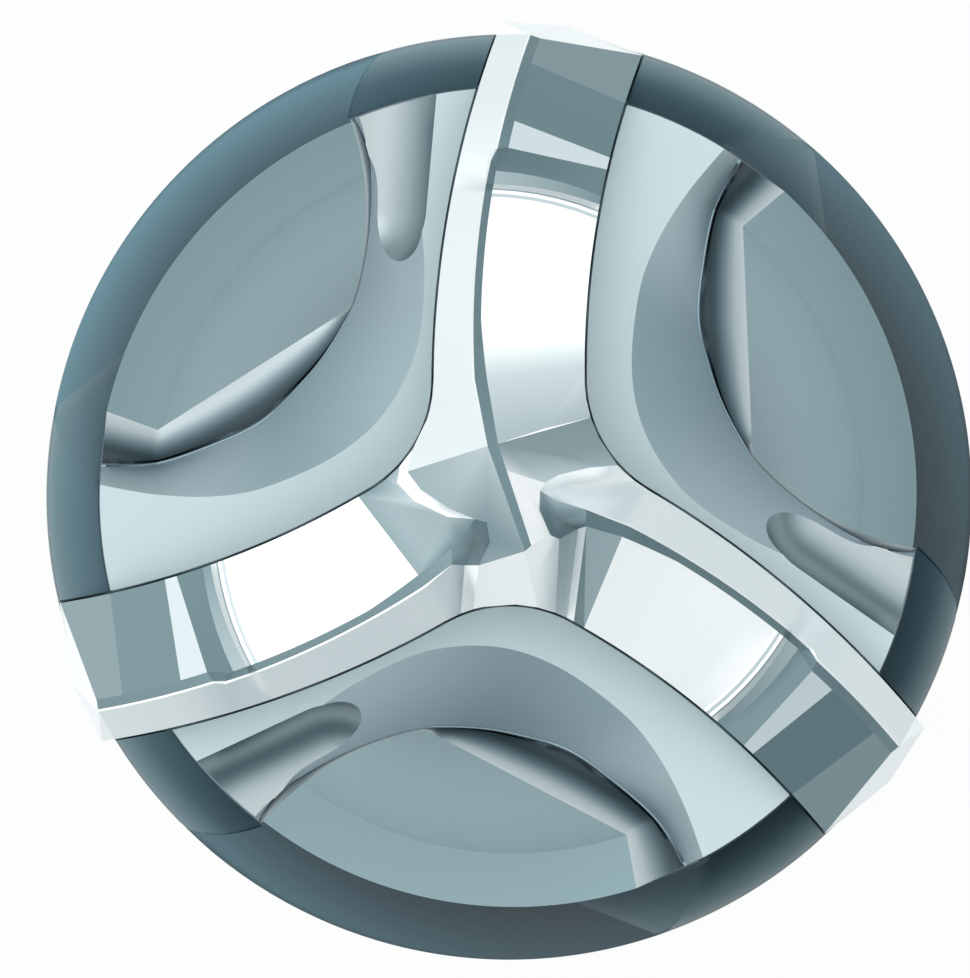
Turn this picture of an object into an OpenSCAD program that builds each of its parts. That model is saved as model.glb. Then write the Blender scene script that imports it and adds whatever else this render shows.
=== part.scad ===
// Masonry drill bit for a hammer drill: three carbide cutting edges on a fluted steel body.
// Z runs along the axis from the shank end to the tip, and the origin is the centre of the
// shank end. The first blade points to +Y. Seen from the tip the bit turns counterclockwise,
// so each blade leads with its left side when it points up. Sizes are in millimetres.

/* [Main sizes] */
// Cutting diameter, measured over the outer corners of the blades
bit_d = 12; // [11.9:0.05:12.4]
// Whole length from the shank end to the tip
overall_len = 160; // [140:5:260]
// Height of the carbide tip above the steel face around it
tip_rise = 3; // [2.8:0.1:3.6]

/* [Steel head] */
// Diameter of the boss that holds the carbide
head_d = 10.34; // [10.2:0.02:10.4]
// Height of the boss above the helical body
head_h = 1.4; // [1.2:0.1:2]
// Radius of the fillet where the wall of the boss meets the flute
foot_fillet = 0.68; // [0.66:0.02:0.9]
// Height of the small step that runs along the foot of the wall
foot_step = 0.1; // [0.05:0.01:0.2]
// Radius of the chip groove that is milled into the leading side of each rib
chip_groove_r = 0.9; // [0.8:0.05:1]
// Depth of the chip groove's centre line below the steel face
chip_groove_drop = 0.28; // [0.2:0.02:0.4]

/* [Helical body] */
// Diameter over the lands of the helix
body_d = 11.88; // [11.8:0.02:11.9]
// Diameter over the lands at their front end, behind the bevel
body_front_d = 11.72; // [11.5:0.02:11.8]
// Length over which the lands grow from the one diameter to the other
front_taper_len = 7; // [4:0.5:10]
// Diameter where the bevel of each land begins
bevel_d = 10.42; // [10.4:0.02:10.6]
// Height of the bevel round the front end of the body
bevel_h = 0.9; // [0.5:0.1:1.2]
// Length along the axis in which the flutes turn once
helix_lead = 40; // [36:1:60]
// Length of the helix behind the steel head, run-out included
helix_len = 90; // [60:1:94]
// Length over which the flutes run out at the back
runout_len = 12; // [8:1:20]

/* [Carbide] */
// Depth of the carbide's seat below the steel face
seat_depth = 3; // [2.4:0.1:3.2]
// Half width of each blade at its root
blade_half_w = 0.95; // [0.9:0.01:1]
// Radius of the rounded corner between two blades
web_fillet = 1.63; // [1.5:0.01:1.7]
// Radius of the curve of the leading side
lead_curve_r = 13; // [12.5:0.1:14]
// Radius of the curve of the trailing side
trail_curve_r = 11.1; // [10.8:0.1:11.6]
// Radius of the curve of the cutting edge
edge_curve_r = 11; // [10.6:0.1:11.4]
// Width of the narrow land behind the cutting edge
land_w = 0.12; // [0.1:0.01:0.16]
// Extra width of that land beyond the chip breaker
land_widening = 0.04; // [0:0.01:0.06]
// Fall of the narrow land
land_drop = 0.11; // [0.08:0.01:0.14]

/* [Braze] */
// Width of the braze joint round the carbide
braze_w = 0.03; // [0.02:0.01:0.05]
// Depth of the braze below the steel face
braze_recess = 0.08; // [0.05:0.01:0.2]

/* [Shank] */
// Diameter of the shank
shank_d = 10; // [9.9:0.02:10]
// Length of the shank below the neck
shank_len = 61; // [61:0.5:62]
// Diameter of the neck between shank and helix
neck_d = 10.9; // [10.6:0.1:11.2]
// Width of the chamfer at the shank end
end_chamfer = 0.7; // [0.4:0.1:1]
// Width of the two drive slots that are open at the end
drive_slot_w = 2.8; // [2.4:0.1:3]
// Length of the drive slots
drive_slot_len = 30; // [26:1:32]
// Depth of the drive slots
drive_slot_depth = 1.9; // [1.5:0.1:2.2]
// Radius of the two closed grooves for the locking balls
ball_groove_r = 2.5; // [2.2:0.1:2.8]
// Depth of the locking grooves
ball_groove_depth = 1.4; // [1:0.1:1.6]
// Distance from the shank end to the locking grooves
ball_groove_start = 9.5; // [8:0.5:11]
// Length of the locking grooves
ball_groove_len = 20; // [16:1:22]

/* [Hidden] */
$fn = 96;
blades = 3;
blade_turn = 360 / blades;
overcut = 1;
bit_r = bit_d / 2;
head_r = head_d / 2;
body_r = body_d / 2;
body_front_r = body_front_d / 2;
bevel_r = bevel_d / 2;
neck_r = neck_d / 2;
face_z = overall_len - tip_rise;
shoulder_z = face_z - head_h;
seat_z = face_z - seat_depth;
helix_end_z = shoulder_z - helix_len;

function polar(r, a) = [r * cos(a), r * sin(a)];
function turned(p, a) = [p.x * cos(a) - p.y * sin(a), p.x * sin(a) + p.y * cos(a)];
function mix(a, b, t) = a + (b - a) * t;
function ease(t) = t * t * (3 - 2 * t);
function radius_of(p) = norm([p.x, p.y]);
function held_inside(p, r) = radius_of(p) > r ? p * r / radius_of(p) : p;

// One span of a smooth curve through four points, from the second to the third
function span(a, b, c, d, t) =
    0.5 * (2 * b + (c - a) * t + (2 * a - 5 * b + 4 * c - d) * t * t
        + (3 * b - a - 3 * c + d) * t * t * t);
function smooth_at(p, u) =
    let (last = len(p) - 1, i = min(floor(u), last - 1))
    span(p[max(i - 1, 0)], p[i], p[i + 1], p[min(i + 2, last)], u - i);

// Closed solid from rings of equally many points, the highest ring first. Each ring is
// listed counterclockwise as seen from the tip. The faces of the top are given, and the
// bottom is a fan about the axis.
module stacked(rings, top) {
    n = len(rings[0]);
    m = len(rings);
    lowest = (m - 1) * n;
    axis_point = [0, 0, rings[m - 1][0].z];
    bottom = [for (i = [0 : n - 1]) [lowest + i, lowest + (i + 1) % n, m * n]];
    sides = [
        for (j = [0 : m - 2], i = [0 : n - 1])
            let (a = j * n + i, b = j * n + (i + 1) % n)
            each [[a, b, b + n], [a, b + n, a + n]]
    ];
    polyhedron(concat([for (ring = rings) each ring], [axis_point]),
        concat(top, bottom, sides), convexity = 10);
}

// Flute between the first blade and the one that follows it counterclockwise.
// u runs from 0 to flute_spans along the flute, from its trailing to its leading side.
flute_spans = 10;
land_steps = 4;
line_start_u = 1;
line_end_u = 6;

// Upper edge of the flute, on the steel face
edge_start_a = 178.3;
edge_end_a = 106.8;
edge_land_a = edge_start_a + 0.4;
edge_knots = [
    polar(head_r, edge_start_a), [-4.45, 0.03], [-3.70, 0.01], [-3.03, 0.14], [-2.15, 0.55],
    [-1.54, 1.11], [-1.16, 1.90], [-1.07, 2.80], [-1.12, 3.55], [-1.20, 4.17],
    polar(head_r, edge_end_a)
];

// Foot of the flute's wall, above the fillet
foot_start_a = 175.7;
foot_end_a = 112;
foot_knots = [
    polar(head_r, foot_start_a), [-4.45, 0.42], [-3.68, 0.68], [-3.13, 0.95], [-2.70, 1.35],
    [-2.32, 1.81], [-1.97, 2.43], [-1.79, 3.17], [-1.73, 3.92], [-1.78, 4.36],
    polar(head_r, foot_end_a)
];

// Section of the helical flute: a short ramp behind the bevel, a straight flank that runs
// to the core, and a hollow flank on the other side that runs out through the land
bevel_inner_a = 168;
bevel_outer_a = 177.5;
ramp_end = [-4.45, 0.85];
core_point = [-2.02, 2.39];
hollow_centre = [-5.34, 3.6];
hollow_r = norm(core_point - hollow_centre);
hollow_start_a = atan2(core_point.y - hollow_centre.y, core_point.x - hollow_centre.x);
hollow_reach = norm(hollow_centre);
hollow_end_a = atan2(-hollow_centre.y, -hollow_centre.x)
    + acos((hollow_r * hollow_r + hollow_reach * hollow_reach - body_r * body_r)
        / (2 * hollow_r * hollow_reach));

function section_at(u) =
    u <= line_start_u ? mix(polar(bevel_r, bevel_inner_a), ramp_end, u / line_start_u)
    : u <= line_end_u
        ? mix(ramp_end, core_point, (u - line_start_u) / (line_end_u - line_start_u))
    : hollow_centre + polar(hollow_r, mix(hollow_start_a, hollow_end_a,
        (u - line_end_u) / (flute_spans - line_end_u)));

// Angles at which the land behind the flute starts and ends, at each level
function land_angles(start_a, end_a) =
    [for (i = [1 : land_steps]) mix(start_a, end_a + blade_turn, i / (land_steps + 1))];
function angle_of(p) = (atan2(p.y, p.x) + 360) % 360;

// Every ring is listed per flute as the leading end of the flute, back to its trailing
// end, the start of the bevel and then the land that follows it
us = [for (u = [flute_spans : -1 : 0]) u];
function all_round(points) =
    [for (b = [0 : blades - 1], p = points) let (q = turned(p, b * blade_turn)) [q.x, q.y, p.z]];

edge_ring = all_round([
    for (u = us) let (p = smooth_at(edge_knots, u)) [p.x, p.y, face_z],
    for (a = concat([edge_land_a], land_angles(edge_land_a, edge_end_a)))
        let (p = polar(head_r, a)) [p.x, p.y, face_z]
]);

// The fillet stops just short of upright, where it meets the wall
widest_fillet = foot_fillet * 0.98;
function foot_rise(width, t) =
    foot_fillet - sqrt(pow(foot_fillet, 2) - pow(width * (1 - t), 2)) + foot_step * (1 - t);
function foot_ring(t) = all_round([
    for (u = us)
        let (a = smooth_at(foot_knots, u), b = held_inside(section_at(u), bevel_r),
            p = mix(a, b, t))
        [p.x, p.y, shoulder_z + foot_rise(min(norm(b - a), widest_fillet), t)],
    for (a = concat([bevel_outer_a], land_angles(bevel_outer_a, foot_end_a)))
        let (p = polar(mix(head_r, bevel_r, t), a))
        [p.x, p.y, shoulder_z + foot_step * (1 - t)]
]);

// Section of the helix at a distance below the shoulder
bevel_rounding = 1.7;
function bevel_r_at(t) = mix(bevel_r, body_front_r, 1 - pow(1 - t, bevel_rounding));
function land_r(below) =
    below < bevel_h ? bevel_r_at(below / bevel_h)
    : mix(body_front_r, body_r, min(1, (below - bevel_h) / front_taper_len));
function runout(below) = ease(min(1, max(0, (below - helix_len + runout_len) / runout_len)));

// The run-out ends in a low round collar, and the neck enters it from below
collar_step = 0.1;
collar_h = 0.6;
collar_r = neck_r + collar_step;
collar_start_a = 172;
collar_end_a = 113;
land_list = concat([bevel_outer_a],
    land_angles(bevel_outer_a, angle_of(section_at(flute_spans))));
section_pairs = concat(
    [for (u = us)
        [section_at(u), polar(collar_r, mix(collar_start_a, collar_end_a, u / flute_spans))]],
    [for (a = land_list) [polar(body_r, a), polar(collar_r, a)]]
);
function helix_ring(below) =
    let (spin = -360 * below / helix_lead, r_land = land_r(below), fade = runout(below))
    all_round([
        for (pair = section_pairs)
            let (s = turned(mix(held_inside(pair[0], r_land), pair[1], fade), spin))
            [s.x, s.y, shoulder_z - below]
    ]);

fillet_steps = 3;
bevel_steps = 4;
ring_step = 2;
rings_down = ceil((helix_len - bevel_h) / ring_step);
helix_levels = concat(
    [for (i = [0 : bevel_steps - 1]) bevel_h * i / bevel_steps],
    [for (i = [0 : rings_down]) mix(bevel_h, helix_len, i / rings_down)]
);

// Top face: strips across each rib from flute to flute, its round outer end, and the middle
ring_part = flute_spans + 2 + land_steps;
function ring_at(b, k) = (b % blades) * ring_part + k;
steel_top = concat(
    [for (b = [0 : blades - 1], k = [0 : flute_spans / 2 - 1])
        [ring_at(b + 1, k + 1), ring_at(b + 1, k),
            ring_at(b, flute_spans - k), ring_at(b, flute_spans - k - 1)]],
    [for (b = [0 : blades - 1])
        concat([ring_at(b + 1, 0)],
            [for (k = [ring_part - 1 : -1 : flute_spans]) ring_at(b, k)])],
    [[for (b = [blades - 1 : -1 : 0]) ring_at(b, flute_spans / 2)]]
);

module fluted_body() {
    stacked(
        concat([edge_ring],
            [for (i = [0 : fillet_steps - 1]) foot_ring(i / fillet_steps)],
            [for (below = concat(helix_levels, [helix_len + collar_h])) helix_ring(below)]),
        steel_top
    );
}

// Carbide. In a blade's own frame the blade points up and x is across it. Heights are
// written as drops below the tip.
curve_start_y = 1.37;
trail_start_y = 1.64;
edge_start_y = 2.08;
edge_root_x = -0.474;
edge_step = 0.057;
step_row = 4;
root_land_w = 0.18;
fillet_x = blade_half_w + web_fillet;
fillet_y = fillet_x / tan(60);
side_relief = 0.17;
margin_x = 0.71;
lead_corner_drop = 2.9;
margin_drop = 3;
trail_corner_drop = 3.3;

function bowed(r, from_y, y) = r - sqrt(r * r - pow(max(0, y - from_y), 2));
function lead_x(y) = -blade_half_w + bowed(lead_curve_r, curve_start_y, y);
function trail_x(y) = blade_half_w + bowed(trail_curve_r, trail_start_y, y);
function edge_x(j, y) =
    edge_root_x + (j < step_row ? edge_step : 0)
    + edge_curve_r - sqrt(pow(edge_curve_r, 2) - pow(y - edge_start_y, 2));
function land_at(j) =
    j < step_row ? land_w + land_widening : j < root_row ? land_w : root_land_w;

// Height at which a sideways point lies on a circle about the axis
function on_circle(r, x) = sqrt(r * r - x * x);
lead_corner_y = on_circle(bit_r, lead_x(bit_r));
trail_corner_r = bit_r - side_relief;
trail_corner_y = on_circle(trail_corner_r, trail_x(on_circle(trail_corner_r, trail_x(bit_r))));

// Rows of points across a blade, from its outer end to its root: distance from the axis of
// the cutting edge, of the land's rear edge and of the trailing side, then the drop at the
// foot of the front bevel, behind the land and at the trailing side. Rows 3 to 7 are the
// chip breaker.
rows = [
    [5.84, 5.79, 5.58, 2.80, 2.48, 3.12],
    [5.52, 5.47, 4.97, 2.46, 2.13, 2.46],
    [4.79, 4.74, 4.28, 1.92, 1.61, 1.97],
    [4.39, 4.40, 4.13, 1.81, 1.49, 1.92],
    [4.28, 4.11, 3.79, 1.78, 1.60, 2.01],
    [3.94, 3.94, 3.69, 1.69, 1.56, 1.99],
    [3.83, 3.87, 3.59, 1.66, 1.35, 1.77],
    [3.75, 3.74, 3.46, 1.64, 1.33, 1.75],
    [3.00, 3.00, 2.87, 1.39, 1.06, 1.50],
    [2.24, 2.24, 2.25, 1.16, 0.78, 1.25],
    [1.48, 1.48, 1.64, 0.97, 0.50, 1.00]
];
root_row = len(rows) - 1;
breaker_rows = [4 : 7];
across_count = 6;

function is_breaker(j) = len([for (k = breaker_rows) if (k == j) k]) > 0;
function part_way(a, b, t, round_axis) =
    round_axis
        ? polar(mix(radius_of(a), radius_of(b), t), mix(atan2(a.y, a.x), atan2(b.y, b.x), t))
        : mix(a, b, t);
function across(j) =
    let (row = rows[j],
        lead = [lead_x(row[0]), row[0]],
        edge = [edge_x(j, row[0]), row[0]],
        land = [edge_x(j, row[1]) + land_at(j), row[1]],
        trail = [trail_x(row[2]), row[2]])
    [
        [lead.x, lead.y, row[3]],
        [edge.x, edge.y, row[4] - land_drop],
        for (t = [0, 1 / 3, 2 / 3, 1])
            let (q = part_way(land, trail, t, is_breaker(j))) [q.x, q.y, mix(row[4], row[5], t)]
    ];

// Rounded corner from the leading side of a blade to the trailing side of the next one,
// with the drop at each angle in each of the three corners
web_angles = [-8, -14, -18, -33, -42.5, -51, -56.5, -60];
web_drops = [
    [0.98, 0.99, 1.00, 0.98, 1.08, 1.06, 1.03, 1.02],
    [1.10, 1.15, 1.06, 0.79, 0.68, 1.05, 1.25, 1.20],
    [1.05, 1.15, 1.22, 0.88, 0.70, 0.83, 0.92, 0.96]
];
web_count = len(web_angles);
function web_point(k, out) = [-fillet_x, fillet_y] + polar(web_fillet - out, web_angles[k]);

// Centre of the carbide: the chisel edge, the gashes that thin it and the pockets at the
// inner ends of the second and third blade
centre = [
    // Chisel edge, front and rear
    [-0.27, 0.64, 0.00], [-0.14, 0.67, 0.07], [-0.03, 0.33, 0.07],
    [0.28, -0.61, 0.07], [0.20, -0.68, 0.00],
    // Lower edge of the face in front of the chisel edge
    [-1.28, 0.32, 0.90], [-1.11, 0.09, 0.84], [-0.76, -0.14, 0.62], [-0.43, -0.28, 0.39],
    [-0.28, -0.32, 0.28], [-0.24, -0.57, 0.32], [-0.38, -0.86, 0.52],
    // First gash and the pocket of the second blade
    [-1.41, 0.18, 1.00], [-1.19, -0.05, 0.92], [-0.78, -0.25, 0.74], [-0.57, -0.48, 0.58],
    [-0.72, -0.64, 0.53], [-0.72, -0.85, 0.45], [-0.56, -0.86, 0.60], [-0.45, -0.58, 0.66],
    // Face behind the chisel edge and the pocket of the third blade
    [0.52, -0.48, 0.30], [0.63, -0.53, 0.42], [0.87, -0.40, 0.72], [0.97, -0.37, 0.62],
    [0.97, -0.16, 0.45], [0.59, -0.04, 0.60], [0.39, 0.08, 0.55], [0.38, -0.16, 0.42],
    [0.61, -0.28, 0.66],
    // Second gash, upper and lower edge
    [0.45, 0.18, 0.64], [0.63, 0.28, 0.80], [1.01, 0.37, 1.05],
    [0.58, 0.10, 0.64], [0.82, 0.16, 0.78], [1.16, 0.20, 0.95]
];

// Numbers of the points in one list: blade rows, corners, outer ends, centre
blade_size = len(rows) * across_count;
web_start = blades * blade_size;
end_start = web_start + blades * web_count;
end_count = 3;
centre_start = end_start + blades * end_count;
function row_at(b, j, i) = (b % blades) * blade_size + j * across_count + i;
function web_at(b, k) = web_start + b * web_count + k;
function end_at(b, k) = end_start + b * end_count + k;
function root_at(b, i) = row_at(b, root_row, i);
function root_span(b, from, to) = [for (i = [from : to]) root_at(b, i)];
function web_span(b, from, to) = [for (k = [from : to]) web_at(b, k)];
function mid(list) = [for (k = list) centre_start + k];

function placed(p, b) = let (q = turned(p, b * blade_turn)) [q.x, q.y, overall_len - p.z];
carbide_points = concat(
    [for (b = [0 : blades - 1], j = [0 : root_row], p = across(j)) placed(p, b)],
    [for (b = [0 : blades - 1], k = [0 : web_count - 1])
        let (p = web_point(k, 0)) placed([p.x, p.y, web_drops[b][k]], b)],
    [for (b = [0 : blades - 1], p = [
            [lead_x(bit_r), lead_corner_y, lead_corner_drop],
            [margin_x, on_circle(bit_r, margin_x), margin_drop],
            [trail_x(trail_corner_y), trail_corner_y, trail_corner_drop]])
        placed(p, b)],
    [for (p = centre) placed(p, 0)]
);

lead_i = 0;
edge_i = 1;
land_i = 2;
trail_i = across_count - 1;
top_fans = concat(
    [for (b = [0 : blades - 1], j = [0 : root_row - 1], i = [0 : across_count - 2])
        [row_at(b, j, i), row_at(b, j, i + 1), row_at(b, j + 1, i + 1), row_at(b, j + 1, i)]],
    [for (b = [0 : blades - 1], f = [
            [end_at(b, 0), row_at(b, 0, lead_i), row_at(b, 0, edge_i)],
            [end_at(b, 1), end_at(b, 0), for (i = [edge_i : trail_i]) row_at(b, 0, i)],
            [end_at(b, 2), end_at(b, 1), row_at(b, 0, trail_i)]])
        f],
    [
        // Chisel edge, joined to the land of the first blade
        concat(root_span(0, edge_i, land_i), mid([1, 0])),
        mid([0, 1, 2, 3, 4]),
        // Front bevel of the first blade
        concat(mid([0]), [root_at(0, edge_i), root_at(0, lead_i)], web_span(0, 0, 3), mid([5])),
        // Face in front of the chisel edge
        mid([0, 5, 6, 7, 8, 9, 4]), mid([9, 10, 4]), mid([10, 11, 4]),
        // First gash
        concat(mid([5]), web_span(0, 3, 4), mid([12, 6])),
        mid([6, 12, 13, 7]), mid([7, 13, 14, 8]),
        // Inner flank of the second blade
        concat(mid([14, 8, 15, 16]), root_span(1, land_i, trail_i)),
        concat(mid([13, 14]), [root_at(1, trail_i), web_at(0, 7), web_at(0, 6), web_at(0, 5)]),
        concat(mid([12, 13]), [web_at(0, 5), web_at(0, 4)]),
        // Land, pocket and front bevel of the second blade
        concat(root_span(1, edge_i, land_i), mid([16, 17])),
        mid([19, 8, 9, 10, 11, 18, 17, 16, 15, 8]),
        concat(mid([17]), root_span(1, lead_i, edge_i)),
        concat(mid([17]), [root_at(1, lead_i), web_at(1, 0)], mid([18])),
        concat(mid([18]), web_span(1, 0, 1), mid([11])),
        // Faces between the second and the third blade
        concat(mid([4, 11]), web_span(1, 1, 4)),
        concat([web_at(1, 4)], mid([4, 3, 20, 21]), [web_at(1, 5)]),
        concat(mid([21]), web_span(1, 5, 6), mid([22])),
        concat(mid([22]), web_span(1, 6, 7), mid([23])),
        concat(mid([23]), [web_at(1, 7), root_at(2, trail_i)],
            [for (i = [trail_i - 1 : -1 : land_i]) root_at(2, i)]),
        // Land, pocket and front bevel of the third blade
        concat(root_span(2, edge_i, land_i), mid([23, 24])),
        mid([28, 20, 21, 22, 23, 24, 25, 26, 27, 20]),
        concat(mid([24, 25, 32, 33, 34]), [web_at(2, 0), root_at(2, lead_i), root_at(2, edge_i)]),
        // Second gash
        mid([25, 26, 32]), mid([26, 29, 32]), mid([29, 30, 33, 32]), mid([30, 31, 34, 33]),
        concat(mid([34, 31]), [web_at(2, 2), web_at(2, 1), web_at(2, 0)]),
        // Face behind the chisel edge, with the ridge that bounds the flank of the first blade
        concat(mid([1]), [web_at(2, 4), web_at(2, 3), web_at(2, 2)], mid([31, 30, 29, 2])),
        mid([2, 29, 26, 27, 20, 3]),
        concat(mid([1]), root_span(0, land_i, trail_i),
            [for (k = [web_count - 1 : -1 : 4]) web_at(2, k)])
    ]
);

// Triangles of a fan about its first point, listed clockwise as seen from the tip
function plan_turn(a, b, c) = (b.x - a.x) * (c.y - a.y) - (b.y - a.y) * (c.x - a.x);
function facing_up(t) =
    plan_turn(carbide_points[t[0]], carbide_points[t[1]], carbide_points[t[2]]) > 0
        ? [t[0], t[2], t[1]] : t;
top_faces = [
    for (f = top_fans, i = [1 : len(f) - 2])
        if (f[0] != f[i] && f[i] != f[i + 1] && f[0] != f[i + 1])
            facing_up([f[0], f[i], f[i + 1]])
];

// Points round the carbide: the trailing side of a blade from its root outward, its outer
// end, its leading side and the corner that follows
rim = [
    for (b = [0 : blades - 1])
        each concat(
            [for (j = [root_row : -1 : 0]) row_at(b, j, trail_i)],
            [for (k = [end_count - 1 : -1 : 0]) end_at(b, k)],
            [for (j = [0 : root_row]) row_at(b, j, lead_i)],
            web_span(b, 0, web_count - 1))
];

rim_count = len(rim);
rim_part = rim_count / blades;
lead_root_k = 2 * root_row + end_count + 1;

// Underside of the carbide: strips across each blade, its outer end, and a fan about the axis
function foot_faces(first, axis_k) =
    let (at = function (b, k) first + (b * rim_part + k) % rim_count)
    [for (b = [0 : blades - 1])
        each concat(
            [for (k = [0 : root_row - 1])
                [at(b, k), at(b, k + 1), at(b, lead_root_k - k - 1), at(b, lead_root_k - k)]],
            [[for (k = [root_row : lead_root_k - root_row]) at(b, k)]],
            [for (k = [lead_root_k : rim_part - 1]) [at(b, k), at(b, k + 1), axis_k]],
            [[at(b, 0), at(b, lead_root_k), axis_k]])];

module carbide_head() {
    top_count = len(carbide_points);
    foot_points = [for (k = rim) [carbide_points[k].x, carbide_points[k].y, seat_z]];
    walls = [
        for (i = [0 : rim_count - 1])
            let (next = (i + 1) % rim_count)
            [rim[i], rim[next], top_count + next, top_count + i]
    ];
    color("gainsboro")
        polyhedron(concat(carbide_points, foot_points, [[0, 0, seat_z]]),
            concat(top_faces, walls, foot_faces(top_count, top_count + rim_count)),
            convexity = 8);
}

// Outline of the carbide, grown on all sides by a distance
function outline(out) = [
    for (b = [0 : blades - 1], p = concat(
            [for (j = [root_row : -1 : 0]) [trail_x(rows[j][2]) + out, rows[j][2]]],
            [
                [trail_x(trail_corner_y) + out, trail_corner_y + out],
                [margin_x, on_circle(bit_r, margin_x) + out],
                [lead_x(bit_r) - out, lead_corner_y + out]
            ],
            [for (j = [0 : root_row]) [lead_x(rows[j][0]) - out, rows[j][0]]],
            [for (k = [0 : web_count - 1]) web_point(k, out)]))
        turned(p, b * blade_turn)
];

module slot(out, low_z, high_z) {
    translate([0, 0, low_z])
        linear_extrude(high_z - low_z)
            polygon(outline(out));
}

// Inner end of the chip groove's centre line, and its turn from the middle of the blade
chip_groove_end = [-1.9, 3.66];
chip_groove_a = -5;

module chip_groove() {
    translate([chip_groove_end.x, chip_groove_end.y, face_z - chip_groove_drop])
        rotate([0, 0, chip_groove_a]) {
            sphere(chip_groove_r);
            rotate([-90, 0, 0])
                cylinder(h = head_r, r = chip_groove_r);
        }
}

module shank() {
    shank_r = shank_d / 2;
    cone_h = neck_r - shank_r;
    cylinder(h = end_chamfer, r1 = shank_r - end_chamfer, r2 = shank_r);
    translate([0, 0, end_chamfer])
        cylinder(h = shank_len - end_chamfer, r = shank_r);
    translate([0, 0, shank_len])
        cylinder(h = cone_h, r1 = shank_r, r2 = neck_r);
    translate([0, 0, shank_len + cone_h])
        cylinder(h = helix_end_z - collar_h / 2 - shank_len - cone_h, r = neck_r);
}

module drive_slot() {
    translate([shank_d / 2 - drive_slot_depth, -drive_slot_w / 2, -overcut])
        cube([shank_d, drive_slot_w, drive_slot_len - drive_slot_w / 2 + overcut]);
    translate([shank_d / 2 - drive_slot_depth, 0, drive_slot_len - drive_slot_w / 2])
        rotate([0, 90, 0])
            cylinder(h = shank_d, r = drive_slot_w / 2);
}

module ball_groove() {
    reach = shank_d / 2 - ball_groove_depth + ball_groove_r;
    low = ball_groove_start + ball_groove_r;
    high = ball_groove_start + ball_groove_len - ball_groove_r;
    translate([0, reach, low])
        sphere(ball_groove_r);
    translate([0, reach, low])
        cylinder(h = high - low, r = ball_groove_r);
    translate([0, reach, high])
        sphere(ball_groove_r);
}

module cut_head() {
    difference() {
        fluted_body();
        slot(braze_w, seat_z - braze_w, face_z + overcut);
        for (b = [0 : blades - 1])
            rotate(b * blade_turn)
                chip_groove();
    }
}

module grooved_shank() {
    difference() {
        shank();
        for (a = [0, 180])
            rotate(a) {
                drive_slot();
                ball_groove();
            }
    }
}

module steel_body() {
    color("slategray")
        union() {
            cut_head();
            grooved_shank();
        }
}

// The braze ends where the steel ends, so the outer ends of the blades stand bare
module braze_reach() {
    bevel_z = shoulder_z - bevel_h;
    body_reach = body_front_r - braze_recess;
    cylinder(h = bevel_z, r = body_reach);
    translate([0, 0, bevel_z])
        cylinder(h = bevel_h, r1 = body_reach, r2 = bevel_r - braze_recess);
    cylinder(h = face_z, r = head_r - braze_recess);
}

module braze_seam() {
    color("darkslategray")
        intersection() {
            difference() {
                slot(braze_w, seat_z - braze_w, face_z - braze_recess);
                slot(0, seat_z, face_z + overcut);
            }
            braze_reach();
        }
}

carbide_head();
steel_body();
braze_seam();
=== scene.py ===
import math
from functools import partial

import bmesh
import bpy
from mathutils import Matrix, Vector


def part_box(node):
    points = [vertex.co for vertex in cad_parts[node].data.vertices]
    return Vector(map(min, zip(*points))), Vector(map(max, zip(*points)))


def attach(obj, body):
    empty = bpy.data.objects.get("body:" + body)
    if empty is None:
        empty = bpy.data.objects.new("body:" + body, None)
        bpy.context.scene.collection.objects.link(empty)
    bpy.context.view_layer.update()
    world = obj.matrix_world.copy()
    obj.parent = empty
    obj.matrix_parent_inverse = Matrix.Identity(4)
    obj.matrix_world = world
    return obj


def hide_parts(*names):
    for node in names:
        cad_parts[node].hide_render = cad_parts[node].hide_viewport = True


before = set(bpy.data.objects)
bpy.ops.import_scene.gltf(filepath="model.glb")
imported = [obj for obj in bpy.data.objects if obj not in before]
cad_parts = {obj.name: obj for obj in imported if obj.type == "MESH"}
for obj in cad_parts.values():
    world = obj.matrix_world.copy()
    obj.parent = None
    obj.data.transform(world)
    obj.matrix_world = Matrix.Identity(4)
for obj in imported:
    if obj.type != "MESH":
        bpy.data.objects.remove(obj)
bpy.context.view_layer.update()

# Sizes in millimetres. Z runs from the shank end to the tip, the first blade points to +Y.
MM = 0.001
BLADES = 3
BLADE_TURN = math.tau / BLADES
SEAT_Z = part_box("carbide_head")[0][2] / MM
TIP_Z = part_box("carbide_head")[1][2] / MM
SEAT_DEPTH = 3.0
FACE_Z = SEAT_Z + SEAT_DEPTH

# Steel head and helix
HEAD_R = 5.17
HEAD_H = 1.4
FOOT_FILLET = 0.68
WIDEST_FILLET = 0.98 * FOOT_FILLET
FOOT_STEP = 0.1
LEDGE_W = 0.018
BODY_FRONT_R = 5.86
BODY_R = 5.94
FRONT_TAPER_LEN = 7.5
BEVEL_R = 5.21
BEVEL_H = 0.9
BEVEL_ROUNDING = 1.7
HELIX_LEAD = 40.0
HELIX_LEN = 90.0
HELIX_LEVELS = 260
RUNOUT_LEN = 12.0
COLLAR_H = 0.6
COLLAR_STEP = 0.1
SHOULDER_Z = FACE_Z - HEAD_H
HELIX_END_Z = SHOULDER_Z - HELIX_LEN
# Depths below the shoulder at which the dark skin and the painted shade and light of the front are
# gone, and still full
SKIN_AND_SHADE_DEPTH = 12.0
FULL_SKIN_AND_SHADE_DEPTH = 7.5
CHIP_GROOVE_R = 0.9
CHIP_GROOVE_DROP = 0.28
CHIP_GROOVE_PLACE = (-1.9, 3.66)
CHIP_GROOVE_TURN = math.radians(-5)

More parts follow.
